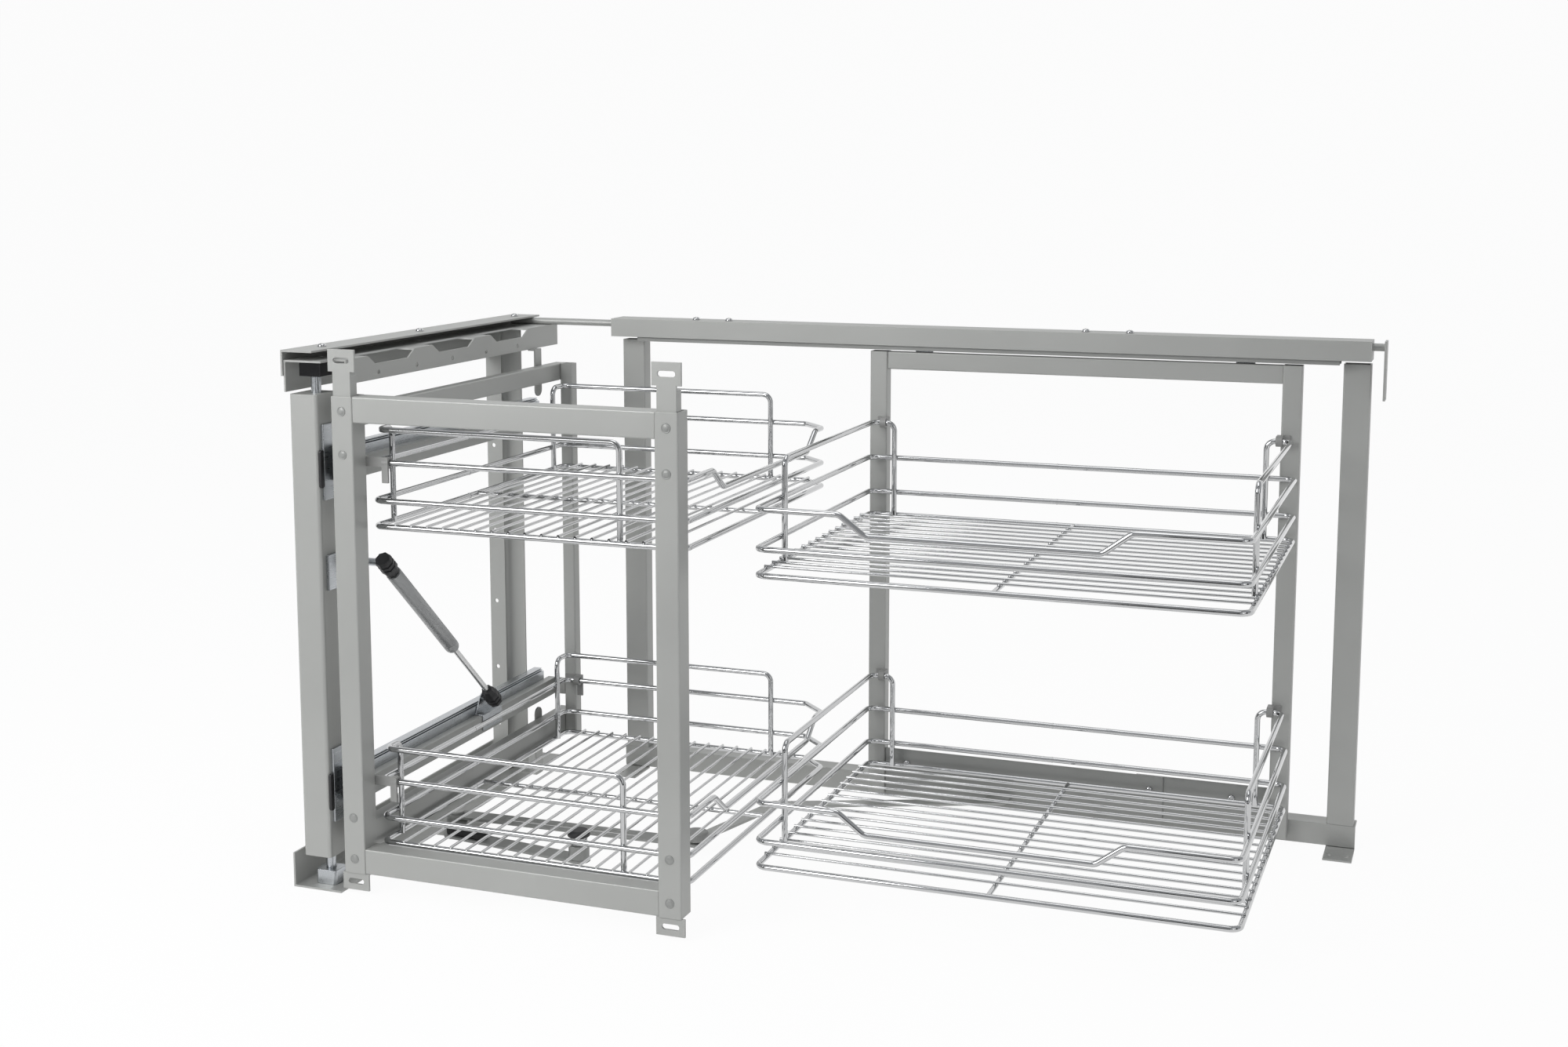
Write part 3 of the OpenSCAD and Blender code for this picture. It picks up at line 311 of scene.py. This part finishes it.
def settle(piece):
    """Turns a piece and its modifiers into a plain mesh."""
    view = bpy.context.evaluated_depsgraph_get()
    mesh = bpy.data.meshes.new_from_object(piece.evaluated_get(view))
    piece.modifiers.clear()
    piece.data = mesh


def wear(piece, node, material=None):
    """The piece takes a node's finish, place and body."""
    slot = slot_of_node[node]
    piece.data.materials.clear()
    piece.data.materials.append(material or finish_of_slot[slot])
    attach(piece, body_of_node[node])
    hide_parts(node)


print("edges sharper than", round(math.degrees(edge_angle)), "degrees are bevelled")

# %% [markdown]
# The tubes are rolled and welded, so their long corners are round. Cut and folded sheet is only
# deburred, and each turned or moulded piece has a small radius of its own. So the pieces are taken in
# three groups, and one with a finish or a fit of its own is named by itself.

# %% Square tubes
tube_edge, sheet_edge, cut_edge = 1.6, 0.5, 0.4
tubes = [
    "front_post_left", "front_post_right", "front_beams", "side_beams", "back_post",
    "carriage_posts", "carriage_top_bar", "rear_posts",
]
for node in tubes:
    soften(node, tube_edge, cut_edge)
print("tubes", len(tubes))

# %% Folded and flat sheet
sheets = [
    "base_channel", "rear_upright", "top_channel", "top_angle", "lower_stop", "rail_cover",
    "rail_track", "bottom_rail", "rail_feet", "wall_bracket", "pivot_plate",
    "slide_beams", "door_brackets", "slide_brackets", "slide_outers", "slide_middles",
    "slide_inners", "strut_anchor", "strut_bracket", "carriage_plate_left",
    "carriage_plate_right", "roller_hangers", "crank_arm", "catch_arm",
]
for node in sheets:
    soften(node, sheet_edge, cut_edge)
# The strap's round end grazes the carriage plate as it turns, so it is drawn a touch smaller.
strap_play = 0.1
soften("link_strap", sheet_edge, cut_edge, slim=strap_play)
print("sheets", len(sheets) + 1)

# %% Round, moulded and solid pieces
solids = {
    "lower_bearing": 0.5, "upper_stop": 0.4, "column": 0.6, "column_pins": 0.6, "tie_rod": 0.8,
    "slide_bumpers": 0.6, "front_hooks": 0.6, "rear_hooks": 0.6, "roller_left": 0.6,
    "roller_right": 0.6, "catch_rubber": 1.6, "catch_knob": 1.2, "elbow_cap": 1.0,
}
for node, radius in solids.items():
    soften(node, radius, radius)
own_finish = {"strut_rod": (0.4, satin), "upper_bearing": (1.0, dark_zinc)}
for node, (radius, material) in own_finish.items():
    soften(node, radius, radius, material)
print("solids", len(solids) + len(own_finish))

# %% [markdown]
# ## Screws and rivets
#
# The pan heads and the flush rivets repeat, so each is modelled once and placed by Geometry Nodes.
# A mesh with one vertex for each place carries the heads: an attribute on the vertex turns the head
# to face outwards. The tree realises the copies and sets their finish, and the result is kept as one
# plain mesh for each kind of fastener.


# %% A pan head with a cross recess, and a domed rivet
def turned(name, outline, sides, flutes=0, flute_depth=0.0):
    """A mesh turned from an outline of (radius, height) pairs, closed at both ends."""
    work = bmesh.new()
    angles = [2 * math.pi * k / sides for k in range(sides)]
    rings = []
    for radius, height in outline:
        reach = [radius - flute_depth * abs(math.sin(flutes * a / 2)) for a in angles]
        ring = [mm(r * math.cos(a), r * math.sin(a), height) for r, a in zip(reach, angles)]
        rings.append([work.verts.new(point) for point in ring])
    for low, high in zip(rings, rings[1:]):
        for k in range(sides):
            work.faces.new((low[k], low[(k + 1) % sides], high[(k + 1) % sides], high[k]))
    work.faces.new(list(reversed(rings[0])))
    work.faces.new(rings[-1])
    mesh = bpy.data.meshes.new(name)
    work.to_mesh(mesh)
    work.free()
    mesh.shade_smooth()
    return mesh


def cross_recess(mesh, arm, width, top, depth):
    """Cuts a cross into the top of a head."""
    head = link("head", mesh)
    for across in ((arm, width), (width, arm)):
        work = bmesh.new()
        size = Matrix.Diagonal((across[0] / 1000, across[1] / 1000, 2 * depth / 1000, 1))
        bmesh.ops.create_cube(work, size=1, matrix=Matrix.Translation(mm(0, 0, top)) @ size)
        blade = bpy.data.meshes.new("blade")
        work.to_mesh(blade)
        work.free()
        cutter = link("cutter", blade)
        cut = head.modifiers.new("cut", "BOOLEAN")
        cut.object = cutter
        cut.solver = "EXACT"
        settle(head)
        bpy.data.objects.remove(cutter)
    cut_mesh = head.data
    bpy.data.objects.remove(head)
    return cut_mesh


pan_outline = [(4.4, 0), (4.5, 0.5), (4.4, 1.4), (3.9, 2.2), (3.0, 2.8), (1.6, 3.15), (0.5, 3.2)]
pan_top, pan_sides, rivet_sides = pan_outline[-1][1], 24, 28
pan_blank = turned("pan_head", pan_outline, pan_sides)
pan_head = cross_recess(pan_blank, arm=4.6, width=1.0, top=pan_top, depth=1.5)
rivet_outline = [
    (4.75, -0.3), (4.75, 0.35), (4.55, 0.6), (4.1, 0.62), (3.8, 0.2), (3.5, 0.5), (0.6, 0.6),
]
rivet_head = turned("rivet_head", rivet_outline, rivet_sides)
print("pan head", len(pan_head.polygons), "faces, rivet", len(rivet_head.polygons), "faces")


# %% [markdown]
# The tree has two named inputs, the places and the size. Its first step stands the part on every
# point, and the last two turn the copies into real geometry and give them their finish.


# %% A tree that stands a part on every point
def placing_tree(name, part, material):
    tree = bpy.data.node_groups.new(name, "GeometryNodeTree")
    tree.interface.new_socket("Places", in_out="INPUT", socket_type="NodeSocketGeometry")
    size = tree.interface.new_socket("Size", in_out="INPUT", socket_type="NodeSocketFloat")
    size.default_value = 1.0
    tree.interface.new_socket("Parts", in_out="OUTPUT", socket_type="NodeSocketGeometry")
    make = tree.nodes.new
    places, parts = make("NodeGroupInput"), make("NodeGroupOutput")
    source, turn = make("GeometryNodeObjectInfo"), make("GeometryNodeInputNamedAttribute")
    source.inputs["Object"].default_value = part
    turn.data_type = "FLOAT_VECTOR"
    turn.inputs["Name"].default_value = "turn"
    stand = make("GeometryNodeInstanceOnPoints")
    solid, dress = make("GeometryNodeRealizeInstances"), make("GeometryNodeSetMaterial")
    dress.inputs["Material"].default_value = material
    join = tree.links.new
    join(places.outputs["Places"], stand.inputs["Points"])
    join(source.outputs["Geometry"], stand.inputs["Instance"])
    join(turn.outputs["Attribute"], stand.inputs["Rotation"])
    join(places.outputs["Size"], stand.inputs["Scale"])
    join(stand.outputs["Instances"], solid.inputs["Geometry"])
    join(solid.outputs["Geometry"], dress.inputs["Geometry"])
    join(dress.outputs["Geometry"], parts.inputs["Parts"])
    return tree, size.identifier


def place_parts(name, mesh, spots, material, size=1.0):
    """Copies of a mesh at (place, turn) spots, as one plain object."""
    part = link(name + "_source", mesh)
    points = bpy.data.meshes.new(name + "_spots")
    points.from_pydata([spot for spot, turn in spots], [], [])
    turns = points.attributes.new("turn", "FLOAT_VECTOR", "POINT")
    for row, (spot, turn) in zip(turns.data, spots):
        row.vector = turn
    piece = link(name, points)
    tree, size_id = placing_tree(name, part, material)
    scatter = piece.modifiers.new("parts", "NODES")
    scatter.node_group = tree
    scatter[size_id] = size
    settle(piece)
    bpy.data.objects.remove(part)
    return piece


def heads_of(node, out):
    """The middle of the outer end of each separate solid of a node, as seen along out."""
    work = bmesh.new()
    work.from_mesh(nodes[node].data)
    bmesh.ops.remove_doubles(work, verts=work.verts, dist=merge_gap)
    for vert in work.verts:
        vert.tag = False
    tops = []
    for start in work.verts:
        if start.tag:
            continue
        start.tag = True
        group, grown = [], [start]
        while grown:
            vert = grown.pop()
            group.append(vert.co.copy())
            for edge in vert.link_edges:
                near = edge.other_vert(vert)
                if not near.tag:
                    near.tag = True
                    grown.append(near)
        middle = sum(group, Vector()) / len(group)
        top = max(point.dot(out) for point in group)
        tops.append(middle + out * (top - middle.dot(out)))
    work.free()
    return tops


print("fasteners are placed by Geometry Nodes")

# %% [markdown]
# The places come from the measured heads themselves: the middle of each solid across the screw, and
# its top along it. So the drawn heads sit exactly where the measured ones do.

# %% Place the screws and rivets
upwards, rightwards, forwards = (0, 0, 0), (0, math.pi / 2, 0), (math.pi / 2, 0, 0)
# The way it faces, its shape and finish, its height in millimetres and its scale.
fasteners = {
    "frame_screws": (upwards, pan_head, chrome, 3.2, 1.0),
    "bracket_screws": (rightwards, pan_head, chrome, 2.0, 0.78),
    "plate_screws": (forwards, pan_head, chrome, 2.5, 0.88),
    # The rivets take the darker grey coat as painted shade: it stands in for the shadow in the groove round each
    # head, on rivets that are the posts' own silver.
    "frame_rivets": (forwards, rivet_head, shade, 0.7, 1.0),
}
for node, (turn, mesh, material, height, size) in fasteners.items():
    out = Vector((0, 0, 1))
    out.rotate(Euler(turn))
    spots = [(top - out * height / 1000, turn) for top in heads_of(node, out)]
    piece = place_parts(node + "_heads", mesh.copy(), spots, material, size)
    wear(piece, node, material)
    print(node, len(spots), "heads")

# %% [markdown]
# ## The damper strut
#
# The strut is a gas cylinder: a lacquered tube whose end is rolled in over the seal, a ground rod, and
# a ribbed plastic socket that snaps over a ball stud at each end. All of these are turned shapes. The
# tube and the sockets are each one outline spun about the line from pivot to pivot. The sockets have
# shallow flutes, which a finger and thumb need to pull them off.

# %% Turn the strut's tube and sockets
strut_low, strut_high = mm(41.5, 272, 128), mm(41.5, 52, 328)
strut_line = strut_high - strut_low
strut_turn = strut_line.to_track_quat("Z", "X").to_matrix().to_4x4()
strut_long = strut_line.length * 1000
socket_outline = [
    (6.4, -8.0), (8.2, -7.6), (8.8, -6.4), (9.0, -2.4), (8.0, -2.0), (8.0, -0.4), (9.0, 0.0),
    (9.0, 3.6), (8.0, 4.0), (8.0, 5.6), (9.0, 6.0), (9.0, 11.6), (8.4, 12.4), (7.4, 16.0), (6.4, 20.0),
]
tube_long, socket_long, roll = 180.0, 20.0, 12.0
tube_from, tube_to = strut_long - tube_long, strut_long - socket_long
tube_outline = [
    (3.7, tube_from), (5.6, tube_from + 0.2), (7.0, tube_from + 1.4), (7.8, tube_from + 3.6),
    (8.0, tube_from + 6), (8.0, tube_from + roll), (7.6, tube_from + roll + 0.5),
    (7.6, tube_from + roll + 1.1), (8.0, tube_from + roll + 1.6), (8.0, tube_to - 0.5), (7.6, tube_to),
]
upper_outline = [(radius, strut_long - height) for radius, height in reversed(socket_outline)]
crease = math.radians(40)
strut_parts = {
    "strut_cylinder": (tube_outline, 48, 0, 0.0),
    "strut_socket_lower": (socket_outline, 64, 8, 0.8),
    "strut_socket_upper": (upper_outline, 64, 8, 0.8),
}
for node, (outline, sides, flutes, depth) in strut_parts.items():
    mesh = turned(node + "_turned", outline, sides, flutes, depth)
    mesh.transform(Matrix.Translation(strut_low) @ strut_turn)
    mesh.set_sharp_from_angle(angle=crease)
    wear(link(node + "_finished", mesh), node)
    print(node, len(mesh.polygons), "faces")

# %% [markdown]
# ## The wire baskets
#
# A basket is bent from a few lengths of heavy wire: a rim, two rails, of which the middle one dips
# where a hand reaches in, and a hoop at each end. Thin floor wires are welded across the rim and over
# one stiffening bar. Each wire is written as corner points with a bend radius. A curve through them
# goes to a Geometry Nodes tree that sweeps a circle along it, because the wire's thickness is then
# one number.


# %% Bend a wire through its corners
bend_step, least_steps, wire_sides = 11, 3, 14


def bent(corners, closed=False):
    """Points along a path of (point, bend radius) corners, in millimetres."""
    points = [Vector(c[0]) for c in corners]
    count = len(points)
    path = []
    for i, here in enumerate(points):
        radius = corners[i][1]
        if not closed and i in (0, count - 1) or radius == 0:
            path.append(here)
            continue
        u = (points[i - 1] - here).normalized()
        v = (points[(i + 1) % count] - here).normalized()
        opening = u.angle(v)
        back = radius / math.tan(opening / 2)
        centre = here + (u + v).normalized() * (radius / math.sin(opening / 2))
        first, last = here + u * back - centre, here + v * back - centre
        sweep = first.angle(last)
        axis = first.cross(last).normalized()
        steps = max(least_steps, round(math.degrees(sweep) / bend_step))
        for k in range(steps + 1):
            arm = first.copy()
            arm.rotate(Matrix.Rotation(sweep * k / steps, 3, axis))
            path.append(centre + arm)
    return path


def wire_tree(name, material):
    tree = bpy.data.node_groups.new(name, "GeometryNodeTree")
    tree.interface.new_socket("Path", in_out="INPUT", socket_type="NodeSocketGeometry")
    thick = tree.interface.new_socket("Diameter", in_out="INPUT", socket_type="NodeSocketFloat")
    tree.interface.new_socket("Wire", in_out="OUTPUT", socket_type="NodeSocketGeometry")
    make, join = tree.nodes.new, tree.links.new
    path, wire = make("NodeGroupInput"), make("NodeGroupOutput")
    ring, half = make("GeometryNodeCurvePrimitiveCircle"), make("ShaderNodeMath")
    sweep, smooth = make("GeometryNodeCurveToMesh"), make("GeometryNodeSetShadeSmooth")
    solid, dress = make("GeometryNodeRealizeInstances"), make("GeometryNodeSetMaterial")
    ring.inputs["Resolution"].default_value = wire_sides
    half.operation = "MULTIPLY"
    half.inputs[1].default_value = 0.5
    sweep.inputs["Fill Caps"].default_value = True
    dress.inputs["Material"].default_value = material
    join(path.outputs["Diameter"], half.inputs[0])
    join(half.outputs[0], ring.inputs["Radius"])
    join(path.outputs["Path"], sweep.inputs["Curve"])
    join(ring.outputs["Curve"], sweep.inputs["Profile Curve"])
    join(sweep.outputs["Mesh"], smooth.inputs["Geometry"])
    join(smooth.outputs["Geometry"], solid.inputs["Geometry"])
    join(solid.outputs["Geometry"], dress.inputs["Geometry"])
    join(dress.outputs["Geometry"], wire.inputs["Wire"])
    return tree, thick.identifier


chrome_wire, wire_size = wire_tree("chrome_wire", chrome)


def sweep_wires(name, paths, diameter):
    """Swept wire along (points, closed) paths, in millimetres, as one plain object."""
    curve = bpy.data.curves.new(name, "CURVE")
    curve.dimensions = "3D"
    for points, closed in paths:
        line = curve.splines.new("POLY")
        line.points.add(len(points) - 1)
        line.use_cyclic_u = closed
        for knot, point in zip(line.points, points):
            knot.co = (*(point / 1000), 1)
    piece = link(name, curve)
    grow = piece.modifiers.new("wire", "NODES")
    grow.node_group = chrome_wire
    grow[wire_size] = diameter / 1000
    view = bpy.context.evaluated_depsgraph_get()
    mesh = bpy.data.meshes.new_from_object(piece.evaluated_get(view))
    bpy.data.objects.remove(piece)
    return mesh


print("wire tree takes", wire_size)

# %% [markdown]
# A basket is drawn lying square, with its rim's centre line at height zero and its reaching side along
# the x axis. All sizes are in millimetres. A rim or rail is one closed loop, whose ends meet in a small
# butt join at the back. The floor wires lie on the rim and are sunk into it a little, as welding does.

# %% The wires of one basket
wire_d, floor_d, bar_d, join_d = 6.0, 3.0, 5.0, 6.5
join_share, join_half = 0.46, Vector((0.7, 0, 0))
low_rail, middle_rail, rail_dip, dip_run, dip_bend = 26.0, 65.0, 20.0, 27.0, 11.0
corner_bend, cut_bend = 10.0, 7.0
hoop_in, hoop_reach, hoop_bend, hoop_front = 4.2, 30.0, 9.0, 70.0
floor_over, floor_sunk, weld_drop, weld_sunk = 2.0, 1.0, 1.2, 0.4


def loop_corners(w, d, z, cut, dip):
    """A closed loop, with a cut corner and a dip on the reaching side where asked."""
    corners = [((0, d, z), corner_bend), ((0, 0, z), corner_bend)]
    if dip:
        a, b = dip[0] * w, dip[1] * w
        corners += [((a, 0, z), dip_bend), ((a + dip_run, 0, z - rail_dip), dip_bend)]
        corners += [((b - dip_run, 0, z - rail_dip), dip_bend), ((b, 0, z), dip_bend)]
    if cut:
        corners += [((w - cut, 0, z), cut_bend), ((w, cut, z), cut_bend)]
    else:
        corners += [((w, 0, z), corner_bend)]
    return corners + [((w, d, z), corner_bend)]


def hoop_corners(w, d, top, left):
    """The hoop at one end: up at the back, round the corner, along the end and down again."""
    end = hoop_in if left else w - hoop_in
    up = hoop_reach if left else w - hoop_reach
    back = d - hoop_in
    return [
        ((up, back, 0), 0), ((up, back, top), hoop_bend), ((end, back, top), hoop_bend),
        ((end, hoop_front, top), hoop_bend), ((end, hoop_front, 0), 0),
    ]


def basket_wires(w, d, top, pitch, cut, dip):
    """Heavy wires, the bar, floor wires, butt joins and weld spots of a basket of size w by d."""
    cw, cd = w - wire_d, d - wire_d
    loops = [(0.0, None), (low_rail, None), (middle_rail, dip)]
    heavy = [(bent(loop_corners(cw, cd, z, cut, dips), True), True) for z, dips in loops]
    heavy += [(bent(hoop_corners(cw, cd, top, left)), False) for left in (True, False)]
    bar = [([Vector((cw / 2, 0, 0)), Vector((cw / 2, cd, 0))], False)]
    rows = math.floor((cd - pitch) / pitch)
    edge = (cd - (rows - 1) * pitch) / 2
    lift = wire_d / 2 + floor_d / 2 - floor_sunk
    fine, welds = [], []
    for i in range(rows):
        y = edge + i * pitch
        end = cw + floor_over - max(0, cut - y)
        fine.append(([Vector((-floor_over, y, lift)), Vector((end, y, lift))], False))
        welds += [Vector((x, y, lift - weld_drop)) for x in (0, cw / 2, end - floor_over)]
    for left in (True, False):
        side = hoop_in if left else cw - hoop_in
        up = hoop_reach if left else cw - hoop_reach
        legs = {
            (side, hoop_front): Vector((-1 if left else 1, 0, 0)),
            (up, cd - hoop_in): Vector((0, 1, 0)),
        }
        for (x, y), out in legs.items():
            rails = [Vector((x, y, z)) for z in (low_rail, middle_rail)]
            welds += [rail + out * (wire_d / 2 - weld_sunk) for rail in rails]
    back = [Vector((cw * join_share, cd, z)) for z, dips in loops]
    joins = [([spot - join_half, spot + join_half], False) for spot in back]
    return heavy, bar, fine, joins, welds


print("wires of", wire_d, floor_d, bar_d, "mm")

# %% [markdown]
# Where two wires are welded the metal flows into a small pillow. One low ball, flattened, stands on
# every crossing, placed by the same kind of tree as the screws.

# %% Build the four baskets
weld_radius, weld_shape = 2.1, (1.25, 1.0, 0.8)


def weld_ball():
    work = bmesh.new()
    bmesh.ops.create_icosphere(work, subdivisions=2, radius=weld_radius / 1000)
    bmesh.ops.scale(work, vec=weld_shape, verts=work.verts)
    mesh = bpy.data.meshes.new("weld")
    work.to_mesh(mesh)
    work.free()
    mesh.shade_smooth()
    return mesh


def build_basket(node, wires, place):
    heavy, bar, fine, joins, welds = wires
    work = bmesh.new()
    for paths, diameter in ((heavy, wire_d), (bar, bar_d), (fine, floor_d), (joins, join_d)):
        work.from_mesh(sweep_wires("wires", paths, diameter))
    spots = [(spot / 1000, Vector()) for spot in welds]
    beads = place_parts("beads", weld_ball(), spots, chrome)
    work.from_mesh(beads.data)
    bpy.data.objects.remove(beads)
    bmesh.ops.transform(work, matrix=place, verts=work.verts)
    mesh = bpy.data.meshes.new(node + "_wire")
    work.to_mesh(mesh)
    work.free()
    piece = link(node + "_wire", mesh)
    wear(piece, node)
    print(node, len(mesh.polygons), "faces,", len(welds), "welds")


# The top wire's height, the floor wires' pitch, the cut corner and the dip's ends as shares.
front_form = (97.0, 18.0, 28.0, (0.16, 0.88))
rear_form = (105.0, 21.5, 0.0, (0.18, 0.775))
inset = Matrix.Translation(mm(wire_d / 2, wire_d / 2, 0))
for level in ("upper", "lower"):
    low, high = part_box(f"front_{level}_basket")
    size = (high - low) * 1000
    wires = basket_wires(size.y, size.x, *front_form)
    corner = Vector((high.x, low.y, low.z)) + mm(0, 0, wire_d / 2)
    place = Matrix.Translation(corner) @ Matrix.Rotation(math.pi / 2, 4, "Z") @ inset
    build_basket(f"front_{level}_basket", wires, place)
    low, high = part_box(f"rear_{level}_basket")
    size = (high - low) * 1000
    wires = basket_wires(size.x, size.y, *rear_form)
    place = Matrix.Translation(low + mm(0, 0, wire_d / 2)) @ inset
    build_basket(f"rear_{level}_basket", wires, place)

# %% [markdown]
# ## The catch spring
#
# The spring under the catch knob is a plain open coil. Its measured solid has few sides, so it is
# swept again along the same helix with a round wire. The knob comes down on it, and a spring gives
# along its axis only. The share of its length that is left when the knob is pressed by its full travel
# is worked out, and the spring is not squashed here.

# %% Wind the spring
# These are the ends of the spring that the knob rests on.
knob_low, knob_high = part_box("catch_spring")
spring_mid = (knob_low + knob_high) * 500
spring_wire, spring_turns, turn_steps = 1.6, 3, 24
spring_radius = (knob_high.x - knob_low.x) * 500 - spring_wire / 2
spring_from = knob_low.z * 1000 + spring_wire / 2
spring_rise = (knob_high.z - knob_low.z) * 1000 - spring_wire
helix = []
for k in range(spring_turns * turn_steps + 1):
    a = 2 * math.pi * k / turn_steps
    z = spring_from + spring_rise * k / (spring_turns * turn_steps)
    across = spring_mid + spring_radius * Vector((math.cos(a), math.sin(a), 0))
    helix.append(Vector((across.x, across.y, z)))
spring = link("catch_spring_wire", sweep_wires("spring", [(helix, False)], spring_wire))
wear(spring, "catch_spring")
knob_travel = next(j for j in frame["joints"] if j["name"] == "knob_press")["range_m"][1]
spring_keep = 1 - knob_travel / (knob_high.z - knob_low.z)
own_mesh(spring)
print("spring", len(spring.data.polygons), "faces, keeps", round(spring_keep, 3), "of its length")

# %% [markdown]
# ## Floor, light and camera
#
# The fitting stands on a white sweep. A large lamp at the upper left lights the front faces, a weak
# one fills from the right, and the sides that face right stay darker, as the tubes need to show their
# shape. The floor is white to the camera and in reflections, and still takes a faint shadow.


# %% White floor and backdrop
def sweep_floor():
    """A floor that curves up into a backdrop far behind the object."""
    front, back, side, bend, top, below = -60.0, 4.0, 60.0, 2.0, 7.0, 0.0002
    angles = [math.pi / 16 * k for k in range(1, 9)]
    profile = [(front, 0.0), (back, 0.0)]
    profile += [(back + bend * math.sin(a), bend - bend * math.cos(a)) for a in angles]
    profile += [(back + bend, top)]
    work = bmesh.new()
    rows = [[work.verts.new((x, y, z - below)) for x in (-side, side)] for y, z in profile]
    for low, high in zip(rows, rows[1:]):
        work.faces.new((low[0], low[1], high[1], high[0]))
    mesh = bpy.data.meshes.new("floor")
    work.to_mesh(mesh)
    work.free()
    mesh.shade_smooth()
    return link("floor", mesh)


floor = sweep_floor()
paper = Finish("white_paper")
paper.surface(Base_Color=(0.86, 0.86, 0.86, 1), Roughness=0.9)
rays = [f"Is {kind} Ray" for kind in ("Camera", "Glossy", "Transmission")]
camera_ray, glossy_ray, clear_ray = [paper.node("ShaderNodeLightPath", output=ray) for ray in rays]
any_ray = camera_ray + glossy_ray + clear_ray
seen = paper.node("ShaderNodeMath", {"operation": "MINIMUM"}, {0: any_ray, 1: 1.0})
glow = paper.node("ShaderNodeEmission", None, {"Color": (1, 1, 1, 1), "Strength": 1.0})
white_share = 0.95
lit_paper = Value(paper.shader.outputs[0])
blend = paper.node("ShaderNodeMixShader", None, {0: white_share * seen, 1: lit_paper, 2: glow})
paper.feed(paper.tree.nodes["Material Output"].inputs["Surface"], blend)
floor.data.materials.append(paper.material)
print("floor", len(floor.data.polygons), "faces")


# %% [markdown]
# Chrome shows whatever stands round it, so in an all-white room a wire turns white and is lost. The
# answer in a studio is a few black cards beside the camera: each wire then carries a dark line next to
# a bright one. The cards here are seen by reflections only and cast no shadow.


# %% Black cards for the chrome
def black_card(name, place, aim, size):
    work = bmesh.new()
    facing = (Vector(aim) - Vector(place)).to_track_quat("Z", "Y").to_matrix().to_4x4()
    flat = Matrix.Diagonal((size[0], size[1], 1, 1))
    stand = Matrix.Translation(place) @ facing @ flat
    bmesh.ops.create_grid(work, x_segments=1, y_segments=1, size=0.5, matrix=stand)
    mesh = bpy.data.meshes.new(name)
    work.to_mesh(mesh)
    work.free()
    made = link(name, mesh)
    made.data.materials.append(felt.material)
    made.visible_camera = False
    made.visible_shadow = False
    made.visible_diffuse = False


felt = Finish("black_felt")
felt.surface(Base_Color=(0.015, 0.015, 0.015, 1), Roughness=1.0)
black_card("card_left", (-2.2, -2.6, 0.9), (0.4, 0.2, 0.3), (1.9, 2.2))
black_card("card_middle", (1.0, -3.2, 0.7), (0.5, 0.2, 0.3), (1.3, 1.5))
black_card("card_right", (3.3, -1.4, 0.9), (0.5, 0.2, 0.3), (1.5, 2.2))
black_card("card_above", (0.9, -0.9, 2.9), (0.5, 0.2, 0.3), (1.6, 0.9))
black_card("card_low", (0.5, -1.25, 0.002), (0.5, -1.25, 1.0), (2.6, 1.3))


# %% [markdown]
# Three soft lamps do the rest. They are large, so that the tubes get even tones and no hard shadows,
# and each is aimed at the fitting's middle or near it.


# %% Lamps
def lamp(name, place, aim, size, power):
    data = bpy.data.lights.new(name, "AREA")
    data.shape = "RECTANGLE"
    data.size, data.size_y = size
    data.energy = power
    made = link(name, data)
    made.location = place
    made.rotation_euler = (Vector(aim) - Vector(place)).to_track_quat("-Z", "Y").to_euler()


lamp("key", (-0.5, -1.35, 1.2), (0.2, 0.1, 0.25), (1.0, 0.9), 20)
lamp("fill", (2.8, -1.8, 1.3), (0.5, 0.2, 0.3), (1.4, 1.8), 8)
lamp("top", (0.3, 0.2, 2.8), (0.4, 0.25, 0.2), (2.2, 1.4), 15)
bpy.context.scene.view_settings.view_transform = "Standard"

# %% [markdown]
# The sky is a weak, slightly blue fill from all round. Beyond the floor's far edge a low camera would
# see it as grey, so camera rays get plain white instead and the light on the object stays as it is.

# %% Sky
sky = bpy.data.worlds.new("studio")
bpy.context.scene.world = sky
sky.use_nodes = True
air = Finish.wrap(sky.node_tree)
air_fill = air.node("ShaderNodeBackground", None, {"Color": (0.95, 0.97, 1.0, 1), "Strength": 0.45})
air_white = air.node("ShaderNodeBackground", None, {"Color": (1, 1, 1, 1), "Strength": 1.0})
air_seen = air.node("ShaderNodeLightPath", output="Is Camera Ray")
air_both = air.node("ShaderNodeMixShader", None, {0: air_seen, 1: air_fill, 2: air_white})
air.feed(sky.node_tree.nodes["World Output"].inputs["Surface"], air_both)
sky.node_tree.nodes.remove(sky.node_tree.nodes["Background"])
print("sky", sky.name, "with", len(sky.node_tree.nodes), "nodes")

# %% [markdown]
# The camera stands where the photograph was taken from: to the right of the fitting, a little above
# its top, looking slightly left and down. The photograph's frame is a bit lower than its optical
# axis, so the lens is shifted by a small amount instead of tilting the camera further.

# %% Camera
photo_width, photo_middle, axis_row, focal_pixels = 2000, 667.5, 540, 2504.8
lens = bpy.data.cameras.new("camera")
lens.sensor_width = 36
lens.sensor_fit = "HORIZONTAL"
lens.lens = focal_pixels / photo_width * lens.sensor_width
lens.shift_y = -(photo_middle - axis_row) / photo_width
camera = link("camera", lens)
yaw, pitch = math.radians(20.288), math.radians(7.675)
look = Vector((-math.sin(yaw) * math.cos(pitch), math.cos(yaw) * math.cos(pitch), -math.sin(pitch)))
camera.location = mm(1110.4, -1660.5, 738.6)
camera.rotation_euler = look.to_track_quat("-Z", "Y").to_euler()
bpy.context.scene.camera = camera
print("camera at", [round(v, 3) for v in camera.location], "lens", round(lens.lens, 2))
